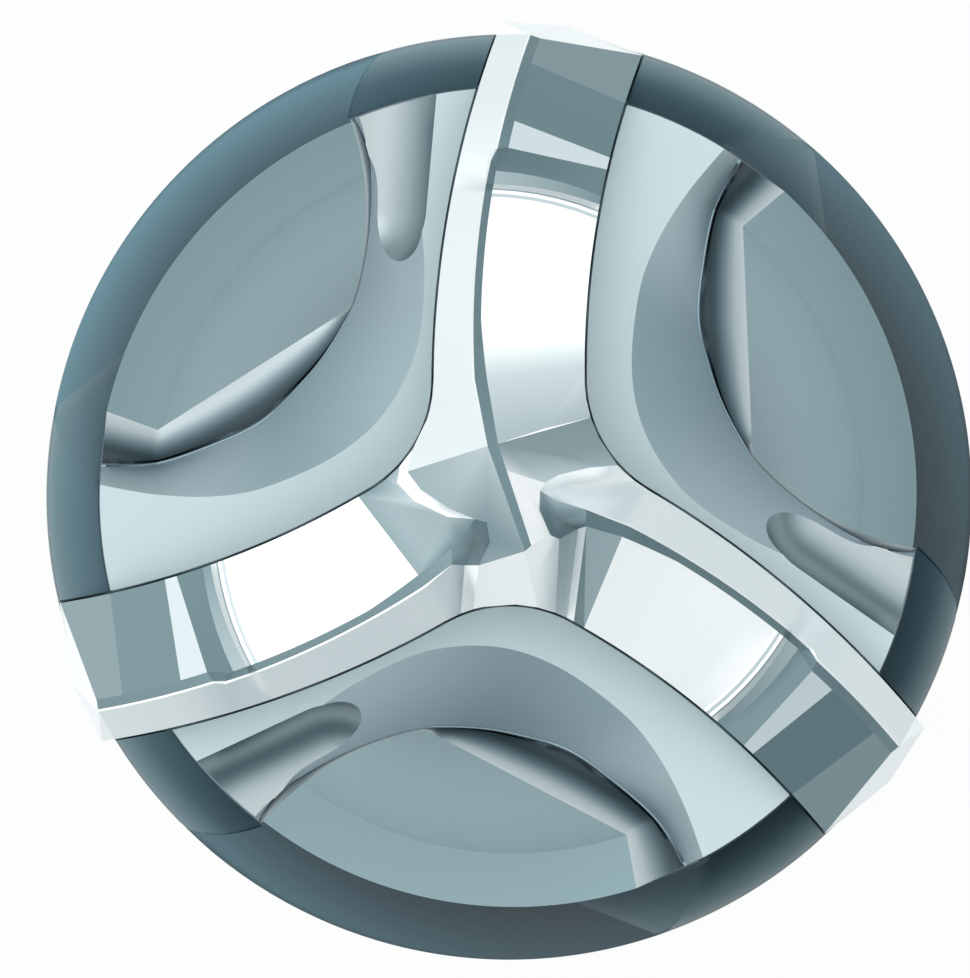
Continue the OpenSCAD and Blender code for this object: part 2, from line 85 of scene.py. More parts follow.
# Neck and shank
SHANK_R = 5.0
SHANK_LEN = 61.0
NECK_R = 5.45
END_CHAMFER = 0.7
DRIVE_SLOT_W = 2.8
DRIVE_SLOT_LEN = 30.0
DRIVE_SLOT_DEPTH = 1.9
BALL_GROOVE_R = 2.5
BALL_GROOVE_DEPTH = 1.4
BALL_GROOVE_START = 9.5
BALL_GROOVE_LEN = 20.0

# Carbide outline
BIT_R = 6.0
BLADE_HALF_W = 0.95
WEB_FILLET = 1.63
LEAD_CURVE_R = 13.0
TRAIL_CURVE_R = 11.1
EDGE_CURVE_R = 11.0
CURVE_START_Y = 1.37
TRAIL_START_Y = 1.64
EDGE_START_Y = 2.08
EDGE_ROOT_X = -0.474
EDGE_STEP = 0.057
FILLET_X = BLADE_HALF_W + WEB_FILLET
FILLET_Y = FILLET_X / math.tan(math.radians(60))
# Width of the narrow strips along the cutting edges and ridges that carry a painted highlight
GLINT_W = 0.025
OUTLINE_STEPS = 24
LAND_W = 0.12
LAND_WIDE_W = 0.16
LAND_ROOT_W = 0.18
LAND_DROP = 0.11
SIDE_RELIEF = 0.17
MARGIN_X = 0.71
BRAZE_W = 0.034
BRAZE_RECESS = 0.01

# How far a cutting tool reaches past the surface
PAST = 1.0
# Distances in metres under which points of the helix, and of the whole body, become one
HELIX_WELD = 1e-7
BODY_WELD = 2e-7
# Steepest angles that are still shaded smoothly: between two soft zones of the carbide,
# within a zone, and on the steel
SOFT_ZONE_ANGLE = math.radians(75)
ZONE_ANGLE = math.radians(28)
STEEL_ANGLE = math.radians(24)


def polar(r, angle):
    return Vector((r * math.cos(angle), r * math.sin(angle)))


def polar_deg(r, degrees):
    return polar(r, math.radians(degrees))


def turned(p, angle):
    c, s = math.cos(angle), math.sin(angle)
    return Vector((p[0] * c - p[1] * s, p[0] * s + p[1] * c))


def mix(a, b, t):
    return a + (b - a) * t


def held_inside(p, r):
    return p * (r / p.length) if p.length > r else p


def smooth_at(knots, u):
    """Point on the smooth curve through the knots; u counts the knots."""
    last = len(knots) - 1
    i = min(int(u), last - 1)
    t = u - i
    a, b, c, d = (knots[max(i - 1, 0)], knots[i], knots[i + 1], knots[min(i + 2, last)])
    return 0.5 * (2 * b + (c - a) * t + (2 * a - 5 * b + 4 * c - d) * t * t
                  + (3 * b - a - 3 * c + d) * t * t * t)


# Nodes and materials


def add_node(tree, kind, links=None, **settings):
    """Adds a node, gives it its settings and fills its inputs with values or links."""
    node = tree.nodes.new(kind)
    for name, value in settings.items():
        setattr(node, name, value)
    for socket, source in (links or {}).items():
        if isinstance(source, bpy.types.NodeSocket):
            tree.links.new(source, node.inputs[socket])
        else:
            node.inputs[socket].default_value = source
    return node


def math_node(tree, operation, *values, clamp=False):
    return add_node(tree, "ShaderNodeMath", dict(enumerate(values)), operation=operation,
                    use_clamp=clamp).outputs[0]


# Numbers of the two inputs and the output of a Mix node that carry colours or vectors
MIX_SOCKETS = {"RGBA": (6, 7, 2), "VECTOR": (4, 5, 1)}


def mix_node(tree, kind, factor, first, second):
    a, b, out = MIX_SOCKETS[kind]
    return add_node(tree, "ShaderNodeMix", {0: factor, a: first, b: second},
                    data_type=kind).outputs[out]


def empty_tree(owner):
    """Node tree of a material or a world, with nothing in it yet."""
    owner.use_nodes = True
    owner.node_tree.nodes.clear()
    return owner.node_tree


def colour(hex_code):
    """sRGB hex code to the linear colour that the shaders take."""
    values = [int(hex_code[i:i + 2], 16) / 255 for i in (1, 3, 5)]
    return [v / 12.92 if v <= 0.04045 else ((v + 0.055) / 1.055) ** 2.4 for v in values] + [1]


def tone_ramp(tree, value, tones):
    """Colour that follows a value through (value, hex) pairs."""
    low, high = tones[0][0], tones[-1][0]
    part = add_node(tree, "ShaderNodeMapRange", {
        "Value": value, "From Min": low, "From Max": high}).outputs["Result"]
    ramp = add_node(tree, "ShaderNodeValToRGB", {"Fac": part})
    bands = ramp.color_ramp.elements
    while len(bands) < len(tones):
        bands.new(0.5)
    for band, (at, tint) in zip(bands, tones):
        band.position = (at - low) / (high - low)
        band.color = colour(tint)
    return ramp.outputs["Color"]


def in_mm(tree, length):
    return math_node(tree, "DIVIDE", length, MM)


# Towards the side of the photograph that the light comes from
UPPER_LEFT = (-0.7, 0.7, 0.0)


def tint_over(tree, place, tones, along, sides):
    """Colour by height, by the distance from the axis, or else by a value that the mesh
    holds under that name. Colour by distance follows the tones given, is painted lighter on
    the upper left side and darker on the lower right as painted light and shade, and fades
    into the colour of the flutes down the body."""
    if along not in ("height", "radius"):
        held = add_node(tree, "ShaderNodeAttribute", attribute_name=along).outputs["Fac"]
        return tone_ramp(tree, held, tones)
    parts = add_node(tree, "ShaderNodeSeparateXYZ", {"Vector": place}).outputs
    if along == "height":
        return tone_ramp(tree, in_mm(tree, parts["Z"]), tones)
    flat = add_node(tree, "ShaderNodeCombineXYZ", {"X": parts["X"], "Y": parts["Y"]}).outputs[0]
    radius = add_node(tree, "ShaderNodeVectorMath", {0: flat}, operation="LENGTH").outputs["Value"]
    # Painted light and shade: the tone is scaled up towards the upper left and down towards the
    # lower right
    side = add_node(tree, "ShaderNodeVectorMath", {0: flat, 1: UPPER_LEFT},
                    operation="DOT_PRODUCT").outputs["Value"]
    light = add_node(tree, "ShaderNodeMapRange", {
        "Value": side, "From Min": -BODY_R * MM, "From Max": BODY_R * MM,
        "To Min": sides[0], "To Max": sides[1]}).outputs["Result"]
    dark = tone_ramp(tree, in_mm(tree, radius), tones)
    tone = add_node(tree, "ShaderNodeVectorMath", {0: dark, "Scale": light},
                    operation="SCALE").outputs["Vector"]
    # The painted tones of the front fade out down the body into the flute colour
    front = add_node(tree, "ShaderNodeMapRange", {
        "Value": in_mm(tree, parts["Z"]), "From Min": SHOULDER_Z - SKIN_AND_SHADE_DEPTH,
        "From Max": SHOULDER_Z - FULL_SKIN_AND_SHADE_DEPTH}).outputs["Result"]
    return mix_node(tree, "RGBA", front, colour(FLUTE_TINT), tone)


def metal(name, tint, roughness, grain_mm, grain_depth, stretch=(1, 1, 1), mirror=1.0,
          along="height", sides=(0.35, 1.35)):
    """Bare metal with a fine grain left by the tool. The tint is one hex code, or a list of
    tones that follow what along names. Stretch draws the grain out along an axis, and a low
    mirror value gives the matt look of a ground or sintered surface."""
    material = bpy.data.materials.new(name)
    tree = empty_tree(material)
    place = add_node(tree, "ShaderNodeTexCoord").outputs["Object"]
    grain_place = add_node(tree, "ShaderNodeMapping", {"Vector": place, "Scale": stretch})
    grain = add_node(tree, "ShaderNodeTexNoise", {
        "Vector": grain_place.outputs["Vector"],
        "Scale": 1 / (grain_mm * MM),
        "Detail": 3.0,
        "Roughness": 0.6,
    }).outputs["Fac"]
    bump = add_node(tree, "ShaderNodeBump", {
        "Height": grain, "Distance": grain_depth * MM, "Strength": 0.5})
    spread = add_node(tree, "ShaderNodeMapRange", {
        "Value": grain, "To Min": roughness * 0.9, "To Max": roughness * 1.1})
    if isinstance(tint, str):
        base = colour(tint)
    else:
        base = tint_over(tree, place, tint, along, sides)
    shader = add_node(tree, "ShaderNodeBsdfPrincipled", {
        "Base Color": base,
        "Metallic": mirror,
        "Roughness": spread.outputs["Result"],
        "Normal": bump.outputs["Normal"],
    })
    add_node(tree, "ShaderNodeOutputMaterial", {"Surface": shader.outputs["BSDF"]})
    return material


# Steel: a pale satin face, a wall that is a little darker with painted shade towards its foot, a
# fillet with painted shade that darkens it towards the foot of the wall, chip grooves with painted
# shade, smooth flutes, lands that have kept their dark skin, with painted shade across their front
# and painted light on its upper left, and a turned shank
# Painted shade: the wall darkens from its top towards its foot
WALL_TONES = [(SHOULDER_Z, "#8397A0"), (FACE_Z - 0.5, "#9CB0B7"), (FACE_Z, "#A3B8BE")]
# Painted shade: the fillet is darkest at the foot of the wall and lightens towards the helix
FILLET_TONES = [
    (0.0, "#3D4B51"), (0.25, "#57666C"), (0.5, "#748489"), (0.75, "#99A5A9"), (1.0, "#A7B2B4"),
]
# Painted shade: the chip grooves are darker towards the face and lighter at depth
GROOVE_TONES = [
    (FACE_Z - 1.2, "#ADB8BA"), (FACE_Z - 1.0, "#91A0A4"), (FACE_Z - 0.7, "#758A90"),
    (FACE_Z, "#586C75"),
]
# Dark skin of the front of the lands with painted shade: darkest at the inner edge, lighter
# outward, and a painted dark outline at the outer edge
SKIN_AND_SHADE_TONES = [
    (5.15, "#304952"), (5.5, "#46626E"), (5.86, "#577A85"), (5.925, "#445F6A"), (5.94, "#25373F"),
]
# Painted shade across the front bevel: darker at its inner edge and in a thin line at its outer
# edge
FRONT_TONES = [
    (5.15, "#3F545C"), (5.5, "#586F78"), (5.83, "#6F8990"), (5.86, "#495F66"),
]
FLUTE_TINT = "#97B0B6"
LAND_TINT = "#6A7A80"
STEEL = {steel.name: steel for steel in (
    metal("steel_face", "#B5C6C9", 0.42, 0.05, 0.0004),
    metal("steel_wall", WALL_TONES, 0.40, 0.08, 0.0005),
    metal("steel_fillet", FILLET_TONES, 0.36, 0.08, 0.0004, along="across"),
    metal("steel_groove", GROOVE_TONES, 0.36, 0.08, 0.0005),
    metal("steel_flute", FLUTE_TINT, 0.40, 0.08, 0.0006, (1, 1, 0.1)),
    metal("steel_front", FRONT_TONES, 0.38, 0.08, 0.0006, along="radius", sides=(0.65, 1.25)),
    metal("steel_skin_and_shade", SKIN_AND_SHADE_TONES, 0.38, 0.08, 0.0006, along="radius", sides=(0.3, 1.5)),
    metal("steel_land", LAND_TINT, 0.34, 0.08, 0.0006, (1, 1, 0.1)),
    metal("steel_shank", "#98A8AD", 0.32, 0.06, 0.0004, (0.05, 0.05, 1)),
)}


# Cemented carbide: very fine grain. The tones are partly the finish, with ground flanks almost
# white and lapped facets grey, and partly painted shade and painted highlight: pockets, creases
# and steep facets darker, fillet bands, ridges and narrow strips along the edges painted white
CARBIDE = metal("cemented_carbide", [
    (0.32, "#3F5157"), (0.52, "#6D8489"), (0.71, "#A6B5B9"), (0.88, "#DAE2E3"), (0.95, "#F5F8F8"),
    (1.0, "#FFFFFF"),
], 0.38, 0.04, 0.0003, mirror=0.4, along="polish_and_shade")
# Polish and painted shade of each zone, from dark to white. A pair runs across the blade, darker
# towards the trailing side
POLISH_AND_SHADE = {
    "flank": 1.0, "bevel": 0.885, "glint": 1.0, "land": 0.526, "end_face": 0.95,
    "outer_facet": 0.594, "lower_facet": 0.524, "upper_facet": 0.797, "breaker_wall": 0.513,
    "breaker_floor": (0.67, 0.53), "breaker_step": 0.97, "step_line": 0.76, "front": 0.687,
    "gash": 0.93, "inner_flank": 0.58, "pocket": 0.48, "between": 0.96, "beside": 1.0,
    "hollow": 0.78, "back_facet": 0.58, "behind": 0.682, "patch": 1.0, "side": 0.5,
}
# Zones that were moulded and run into each other without an edge
SOFT_ZONES = ("gash", "inner_flank", "pocket", "hollow", "behind", "patch", "bevel")
# Painted shade: the flank of the first blade darkens over the last steps before the root
ROOT_SHADE = 0.82
ROOT_FADE = 3
# Points at which the tone of a zone fades into another tone, as painted shade and painted
# highlight over the rounded centre
FADED = {
    "flank": {
        "ridge_a": 0.74, "ridge_glint": 0.74, ("web", 2, 4): 0.74, ("web", 2, 5): 0.78,
        ("web", 2, 6): 0.82, ("web", 2, 7): 0.86},
    "front": {
        "chisel_a": 0.76, "front_out": 0.66, "front_3": 0.58, "front_4": 0.55,
        "front_5": 0.54, "front_6": 0.60, "chisel_b": 0.57},
    "inner_flank": {
        "gash_out": 0.72, "gash_1": 0.74, "gash_2": 0.66, "front_3": 0.60, "pocket_1": 0.48,
        "pocket_2": 0.50, ("web", 0, 4): 0.66, ("web", 0, 5): 0.56, ("web", 0, 6): 0.54,
        ("web", 0, 7): 0.54},
    "gash": {"nook_2": 0.70, "nook_3": 0.88, "lower_1": 0.84, "lower_2": 0.90, "lower_3": 0.92},
    "pocket": {
        "pocket_mid": 0.40, "front_5": 0.44, "pocket_3": 0.56, "front_4": 0.46,
        "pocket_2": 0.50, "pocket_1": 0.48, "nook_mid": 0.42, "nook_2": 0.62,
        "nook_1": 0.54, "nook_3": 0.62, "nook_4": 0.54},
    "behind": {
        "chisel_mid": 0.88, "upper_1": 0.80, "upper_2": 0.74, "ridge_a": 0.64,
        ("web", 2, 4): 0.64, ("web", 2, 3): 0.66},
    "hollow": {"hind_2": 0.66, "hind_3": 0.62},
    "beside": {"hind_2": 0.84, ("web", 1, 5): 0.88},
    "bevel": {
        "pocket_3": 0.86, "pocket_4": 0.70, ("web", 1, 0): 0.76, "nook_1": 0.80,
        "nook_2": 0.70, "lower_1": 0.86, "lower_2": 0.94, "lower_3": 0.94},
}
# Braze: dull and dark from the heat, so that the joint reads as a thin line
BRAZE = metal("dark_braze", "#5E7177", 0.5, 0.05, 0.001)


def mesh_piece(name, points, faces, slots, materials, smooth=True):
    """New object from points in millimetres; slots holds one material number for each face."""
    mesh = bpy.data.meshes.new(name)
    mesh.from_pydata([Vector(p) * MM for p in points], [], faces)
    for material in materials:
        mesh.materials.append(material)
    mesh.polygons.foreach_set("material_index", slots)
    mesh.polygons.foreach_set("use_smooth", [smooth] * len(faces))
    mesh.update()
    piece = bpy.data.objects.new(name, mesh)
    bpy.context.scene.collection.objects.link(piece)
    return piece


def plain_mesh(piece):
    """Turns an object with modifiers into the plain mesh that they make."""
    bpy.context.view_layer.update()
    shape = piece.evaluated_get(bpy.context.evaluated_depsgraph_get())
    mesh = bpy.data.meshes.new_from_object(shape)
    piece.modifiers.clear()
    piece.data = mesh


def combined(piece, tool, operation):
    """Cuts a tool from a piece or joins it on, and removes the tool."""
    cut = piece.modifiers.new("cut", "BOOLEAN")
    cut.object = tool
    cut.operation = operation
    cut.solver = "MANIFOLD"
    plain_mesh(piece)
    bpy.data.objects.remove(tool)


# Carbide head


def bowed(r, start_y, y):
    """How far a side of radius r has curved in at y, past the start of its curve."""
    return r - math.sqrt(r * r - max(0.0, y - start_y) ** 2)


def lead_x(y, out=0.0):
    return -BLADE_HALF_W + bowed(LEAD_CURVE_R, CURVE_START_Y, y) - out


def trail_x(y, out=0.0):
    return BLADE_HALF_W + bowed(TRAIL_CURVE_R, TRAIL_START_Y, y) + out


def on_circle(r, x):
    return math.sqrt(r * r - x * x)


# Rows across a blade from its outer end to its root: distance from the axis of the cutting
# edge, of the land's rear edge and of the trailing side, then the drop below the tip at the
# foot of the front bevel, behind the land and at the trailing side
ROWS = [
    (5.84, 5.79, 5.58, 2.80, 2.48, 3.12),
    (5.52, 5.47, 4.97, 2.46, 2.13, 2.46),
    (4.79, 4.74, 4.28, 1.92, 1.61, 1.97),
    (4.39, 4.40, 4.13, 1.81, 1.49, 1.92),
    (4.28, 4.11, 3.79, 1.78, 1.60, 2.01),
    (3.94, 3.94, 3.69, 1.69, 1.56, 1.99),
    (3.83, 3.87, 3.59, 1.66, 1.35, 1.77),
    (3.75, 3.74, 3.46, 1.64, 1.33, 1.75),
    (3.00, 3.00, 2.87, 1.39, 1.06, 1.50),
    (2.24, 2.24, 2.25, 1.16, 0.78, 1.25),
    (1.48, 1.48, 1.64, 0.97, 0.50, 1.00),
]
# Finishes of the strips between each row and the next, in equal steps
STRIPS = [
    ["outer_facet"] * 2, ["lower_facet"] * 3, ["upper_facet"] * 2, ["breaker_wall"],
    ["breaker_floor"] * 2, ["breaker_step"] * 3 + ["step_line"],
    ["breaker_step", "step_line", "breaker_step"],
    ["flank"] * 4, ["flank"] * 4, ["flank"] * 4,
]
BREAKER_START, BREAKER_END = 4, 7
ACROSS = 9
LEAD, EDGE, GLINT, HIND = 0, 1, 2, 3
TRAIL = ACROSS - 1


def row_points(at):
    """Points across the blade at a row number that may lie between two rows."""
    j = min(int(at), len(ROWS) - 2)
    t = at - j
    edge_y, land_y, trail_y, lead_drop, land_drop, trail_drop = (
        mix(a, b, t) for a, b in zip(ROWS[j], ROWS[j + 1]))
    land_w = LAND_WIDE_W if at < BREAKER_START else LAND_W
    if at > len(ROWS) - 2:
        land_w = mix(LAND_W, LAND_ROOT_W, at - len(ROWS) + 2)
    shift = EDGE_STEP if at < BREAKER_START else 0.0

    def edge_x(y):
        return (EDGE_ROOT_X + shift + EDGE_CURVE_R
                - math.sqrt(EDGE_CURVE_R ** 2 - (y - EDGE_START_Y) ** 2))

    hind = Vector((edge_x(land_y) + land_w, land_y))
    trail = Vector((trail_x(trail_y), trail_y))
    glint = GLINT_W / land_w
    points = [
        (lead_x(edge_y), edge_y, lead_drop),
        (edge_x(edge_y), edge_y, land_drop - LAND_DROP),
        (edge_x(edge_y) + GLINT_W, mix(edge_y, land_y, glint),
         land_drop - LAND_DROP * (1 - glint)),
    ]
    for i in range(ACROSS - HIND):
        s = i / (TRAIL - HIND)
        if BREAKER_START <= at <= BREAKER_END:
            p = polar(mix(hind.length, trail.length, s),
                      mix(math.atan2(hind.y, hind.x), math.atan2(trail.y, trail.x), s))
        else:
            p = mix(hind, trail, s)
        points.append((p.x, p.y, mix(land_drop, trail_drop, s)))
    return points


# Rounded corner between two blades, with the drop at each angle in each corner
WEB_ANGLES = [-8, -14, -18, -33, -42.5, -51, -56.5, -60]
WEB_DROPS = [
    [0.98, 0.99, 1.00, 0.98, 1.08, 1.06, 1.03, 1.02],
    [1.10, 1.15, 1.06, 0.79, 0.68, 1.05, 1.25, 1.20],
    [1.05, 1.15, 1.22, 0.88, 0.70, 0.83, 0.92, 0.96],
]
# Drops of the corners of an outer end: leading side, margin and trailing side
END_DROPS = (2.9, 3.0, 3.3)


def web_point(degrees, out=0.0):
    return Vector((-FILLET_X, FILLET_Y)) + polar_deg(WEB_FILLET - out, degrees)


def end_corners(out=0.0):
    """Corners of a blade's outer end in plan: leading side, margin and trailing side."""
    r = BIT_R - SIDE_RELIEF
    trail_y = on_circle(r, trail_x(on_circle(r, trail_x(BIT_R))))
    return [(lead_x(BIT_R, out), on_circle(BIT_R, lead_x(BIT_R)) + out),
            (MARGIN_X, on_circle(BIT_R, MARGIN_X) + out),
            (trail_x(trail_y, out), trail_y + out)]


# Centre of the carbide: chisel edge, gashes and pockets, each with its drop below the tip
CENTRE = {
    "chisel_a": (-0.27, 0.64, 0.00), "ridge_a": (-0.14, 0.67, 0.07),
    "chisel_mid": (-0.03, 0.33, 0.07),
    "ridge_b": (0.28, -0.61, 0.07), "chisel_b": (0.20, -0.68, 0.00),
    "front_out": (-1.28, 0.32, 0.90), "front_1": (-1.11, 0.09, 0.84),
    "front_2": (-0.76, -0.14, 0.62), "front_3": (-0.43, -0.28, 0.39),
    "front_4": (-0.28, -0.32, 0.28), "front_5": (-0.24, -0.57, 0.32),
    "front_6": (-0.38, -0.86, 0.52),
    "gash_out": (-1.41, 0.18, 1.00), "gash_1": (-1.19, -0.05, 0.92),
    "gash_2": (-0.78, -0.25, 0.74),
    "pocket_1": (-0.57, -0.48, 0.58), "pocket_2": (-0.72, -0.64, 0.53),
    "pocket_3": (-0.72, -0.85, 0.45), "pocket_4": (-0.56, -0.86, 0.60),
    "pocket_mid": (-0.45, -0.58, 0.66),
    "hind_1": (0.52, -0.48, 0.30), "hind_2": (0.63, -0.53, 0.42),
    "hind_3": (0.87, -0.40, 0.72), "hind_4": (0.97, -0.37, 0.62),
    "nook_1": (0.97, -0.16, 0.45), "nook_2": (0.59, -0.04, 0.60), "nook_3": (0.39, 0.08, 0.55),
    "nook_4": (0.38, -0.16, 0.42), "nook_mid": (0.61, -0.28, 0.66),
    "upper_1": (0.45, 0.18, 0.64), "upper_2": (0.63, 0.28, 0.80), "upper_3": (1.01, 0.37, 1.05),
    "ridge_glint": (0.436, 0.857, 0.39), "foot_glint": (0.298, -1.029, 0.35),
    "lower_1": (0.58, 0.10, 0.64), "lower_2": (0.82, 0.16, 0.78), "lower_3": (1.16, 0.20, 0.95),
}


def tone_at(zone, key, root):
    """Polish and painted shade at a point of a zone: its own, or a step of the way across the
    blade.
    """
    polish_and_shade = FADED.get(zone, {}).get(key, POLISH_AND_SHADE[zone])
    if isinstance(polish_and_shade, tuple):
        return mix(*polish_and_shade, (key[3] - HIND) / (TRAIL - HIND))
    if zone == "flank" and key[:2] == ("row", 0) and key[2] > root - ROOT_FADE:
        return mix(polish_and_shade, ROOT_SHADE, (key[2] - root + ROOT_FADE) / ROOT_FADE)
    return polish_and_shade


def carbide_head():
    """Faceted carbide from the rows of its blades, its rounded corners and its centre."""
    points, number = [], {}

    def put(key, p, blade=0):
        q = turned(p, blade * BLADE_TURN)
        number[key] = len(points)
        points.append((q.x, q.y, TIP_Z - p[2]))

    stations = []
    for j, strip in enumerate(STRIPS):
        stations += [(j + k / len(strip), finish) for k, finish in enumerate(strip)]
    stations.append((len(ROWS) - 1, None))
    root = len(stations) - 1
    for b in range(BLADES):
        for j, (at, _) in enumerate(stations):
            for i, p in enumerate(row_points(at)):
                put(("row", b, j, i), p, b)
        for k, degrees in enumerate(WEB_ANGLES):
            put(("web", b, k), (*web_point(degrees), WEB_DROPS[b][k]), b)
        for k, (corner, drop) in enumerate(zip(end_corners(), END_DROPS)):
            put(("end", b, k), (*corner, drop), b)
    for name, p in CENTRE.items():
        put(name, p)

    def roots(b, first, last):
        return [("row", b, root, i) for i in range(first, last + 1)]

    def web(b, first, last):
        step = 1 if last >= first else -1
        return [("web", b, k) for k in range(first, last + step, step)]

    fans = []
    for b in range(BLADES):
        for j in range(root):
            for i in range(TRAIL):
                finish = {LEAD: "bevel", EDGE: "glint", GLINT: "land"}.get(i, stations[j][1])
                fans.append((finish, [("row", b, j, i), ("row", b, j, i + 1),
                                      ("row", b, j + 1, i + 1), ("row", b, j + 1, i)]))
        fans += [
            ("end_face", [("end", b, 0), ("row", b, 0, LEAD), ("row", b, 0, EDGE)]),
            ("end_face", [("end", b, 1), ("end", b, 0)]
             + [("row", b, 0, i) for i in range(EDGE, ACROSS)]),
            ("end_face", [("end", b, 2), ("end", b, 1), ("row", b, 0, TRAIL)]),
        ]
    fans += [
        ("glint", ["chisel_a"] + roots(0, EDGE, GLINT)),
        ("land", ["chisel_a"] + roots(0, GLINT, HIND) + ["ridge_a"]),
        ("land", ["chisel_a", "ridge_a", "chisel_mid", "ridge_b", "chisel_b"]),
        ("bevel", ["chisel_a"] + roots(0, EDGE, EDGE) + roots(0, LEAD, LEAD) + web(0, 0, 3)
         + ["front_out"]),
        ("front", ["chisel_a", "front_out", "front_1", "front_2", "front_3", "front_4",
                   "chisel_b"]),
        ("front", ["front_4", "front_5", "chisel_b"]),
        ("front", ["front_5", "front_6", "chisel_b"]),
        ("gash", ["front_out"] + web(0, 3, 4) + ["gash_out", "front_1"]),
        ("gash", ["front_1", "gash_out", "gash_1", "front_2"]),
        ("gash", ["front_2", "gash_1", "gash_2", "front_3"]),
        ("inner_flank", ["gash_2", "front_3", "pocket_1", "pocket_2"] + roots(1, HIND, TRAIL)),
        ("inner_flank", ["gash_1", "gash_2"] + roots(1, TRAIL, TRAIL) + web(0, 7, 5)),
        ("inner_flank", ["gash_out", "gash_1"] + web(0, 5, 4)),
        ("glint", ["pocket_3"] + roots(1, EDGE, GLINT)),
        ("land", ["pocket_3"] + roots(1, GLINT, HIND) + ["pocket_2"]),
        ("pocket", ["pocket_mid", "front_3", "front_4", "front_5", "front_6", "pocket_4",
                    "pocket_3", "pocket_2", "pocket_1", "front_3"]),
        ("bevel", ["pocket_3"] + roots(1, LEAD, EDGE)),
        ("bevel", ["pocket_3"] + roots(1, LEAD, LEAD) + web(1, 0, 0) + ["pocket_4"]),
        ("gash", ["pocket_4"] + web(1, 0, 1) + ["front_6"]),
        ("between", ["chisel_b", "front_6"] + web(1, 1, 4)),
        ("glint", ["chisel_b", "foot_glint"] + web(1, 4, 4)),
        ("beside", ["foot_glint", "chisel_b", "ridge_b", "hind_1", "hind_2"] + web(1, 5, 4)),
        ("hollow", ["hind_2"] + web(1, 5, 6) + ["hind_3"]),
        ("gash", ["hind_3"] + web(1, 6, 7) + ["hind_4"]),
        ("back_facet", ["hind_4"] + web(1, 7, 7)
         + [("row", 2, root, i) for i in range(TRAIL, HIND - 1, -1)]),
        ("glint", ["nook_1"] + roots(2, EDGE, GLINT)),
        ("land", ["nook_1"] + roots(2, GLINT, HIND) + ["hind_4"]),
        ("pocket", ["nook_mid", "hind_1", "hind_2", "hind_3", "hind_4", "nook_1", "nook_2",
                    "nook_3", "nook_4", "hind_1"]),
        ("bevel", ["nook_1", "nook_2", "lower_1", "lower_2", "lower_3"] + web(2, 0, 0)
         + roots(2, LEAD, EDGE)),
        ("gash", ["nook_2", "nook_3", "lower_1"]),
        ("gash", ["nook_3", "upper_1", "lower_1"]),
        ("gash", ["upper_1", "upper_2", "lower_2", "lower_1"]),
        ("gash", ["upper_2", "upper_3", "lower_3", "lower_2"]),
        ("gash", ["lower_3", "upper_3"] + web(2, 2, 0)),
        ("behind", ["ridge_a"] + web(2, 4, 2) + ["upper_3", "upper_2", "upper_1", "chisel_mid"]),
        ("patch", ["chisel_mid", "upper_1", "nook_3", "nook_4", "hind_1", "ridge_b"]),
        ("glint", ["ridge_a", "ridge_glint"] + web(2, 4, 4)),
        ("flank", ["ridge_glint", "ridge_a"] + roots(0, HIND, TRAIL) + web(2, 7, 4)),
    ]
    names = list(POLISH_AND_SHADE)
    faces, zones, polish_and_shade = [], [], []
    for zone, fan in fans:
        for i in range(1, len(fan) - 1):
            t = [fan[0], fan[i], fan[i + 1]]
            if len(set(t)) < 3:
                continue
            a, b, c = (Vector(points[number[key]][:2]) for key in t)
            if (b - a).cross(c - a) < 0:
                t.reverse()
            faces.append([number[key] for key in t])
            zones.append(names.index(zone))
            polish_and_shade += [tone_at(zone, key, root) for key in t]

    rim = []
    for b in range(BLADES):
        rim += [("row", b, j, TRAIL) for j in range(root, -1, -1)]
        rim += [("end", b, k) for k in (2, 1, 0)]
        rim += [("row", b, j, LEAD) for j in range(root + 1)]
        rim += web(b, 0, len(WEB_ANGLES) - 1)
    rim = [number[key] for key in rim]
    low = len(points)
    points += [(points[n][0], points[n][1], SEAT_Z) for n in rim]
    for i, n in enumerate(rim):
        j = (i + 1) % len(rim)
        faces.append([rim[j], n, low + i, low + j])
    faces.append([low + i for i in range(len(rim) - 1, -1, -1)])
    side_faces = faces[len(zones):]
    zones += [names.index("side")] * len(side_faces)
    polish_and_shade += [POLISH_AND_SHADE["side"]] * sum(len(face) for face in side_faces)

    head = mesh_piece("carbide_head_look", points, faces, [0] * len(faces), [CARBIDE])
    head.data.attributes.new("polish_and_shade", "FLOAT", "CORNER").data.foreach_set("value", polish_and_shade)
    mark_zone_borders(head, zones, {names.index(zone) for zone in SOFT_ZONES})
    return head


def mark_zone_borders(piece, zones, soft_zones):
    """Keeps the shading smooth inside a zone and over the rounded borders between soft
    zones, and sharp where other zones or two steep faces meet."""
    shape = bmesh.new()
    shape.from_mesh(piece.data)
    shape.faces.ensure_lookup_table()
    for edge in shape.edges:
        if len(edge.link_faces) == 2:
            a, b = edge.link_faces
            pair = {zones[a.index], zones[b.index]}
            if pair <= soft_zones:
                edge.smooth = edge.calc_face_angle() < SOFT_ZONE_ANGLE
            else:
                edge.smooth = len(pair) == 1 and edge.calc_face_angle() < ZONE_ANGLE
    shape.to_mesh(piece.data)
    shape.free()


def outline(out):
    """Outline of the carbide in plan, grown on all sides."""
    parts = [k / OUTLINE_STEPS for k in range(OUTLINE_STEPS + 1)]
    outer, root = ROWS[0], ROWS[-1]
    side = [(trail_x(y, out), y) for y in (mix(root[2], outer[2], t) for t in parts)]
    side += reversed(end_corners(out))
    side += [(lead_x(y, out), y) for y in (mix(outer[0], root[0], t) for t in parts)]
    side += [web_point(WEB_ANGLES[-1] * t, out) for t in parts[1:]]
    return [turned(p, b * BLADE_TURN) for b in range(BLADES) for p in side]


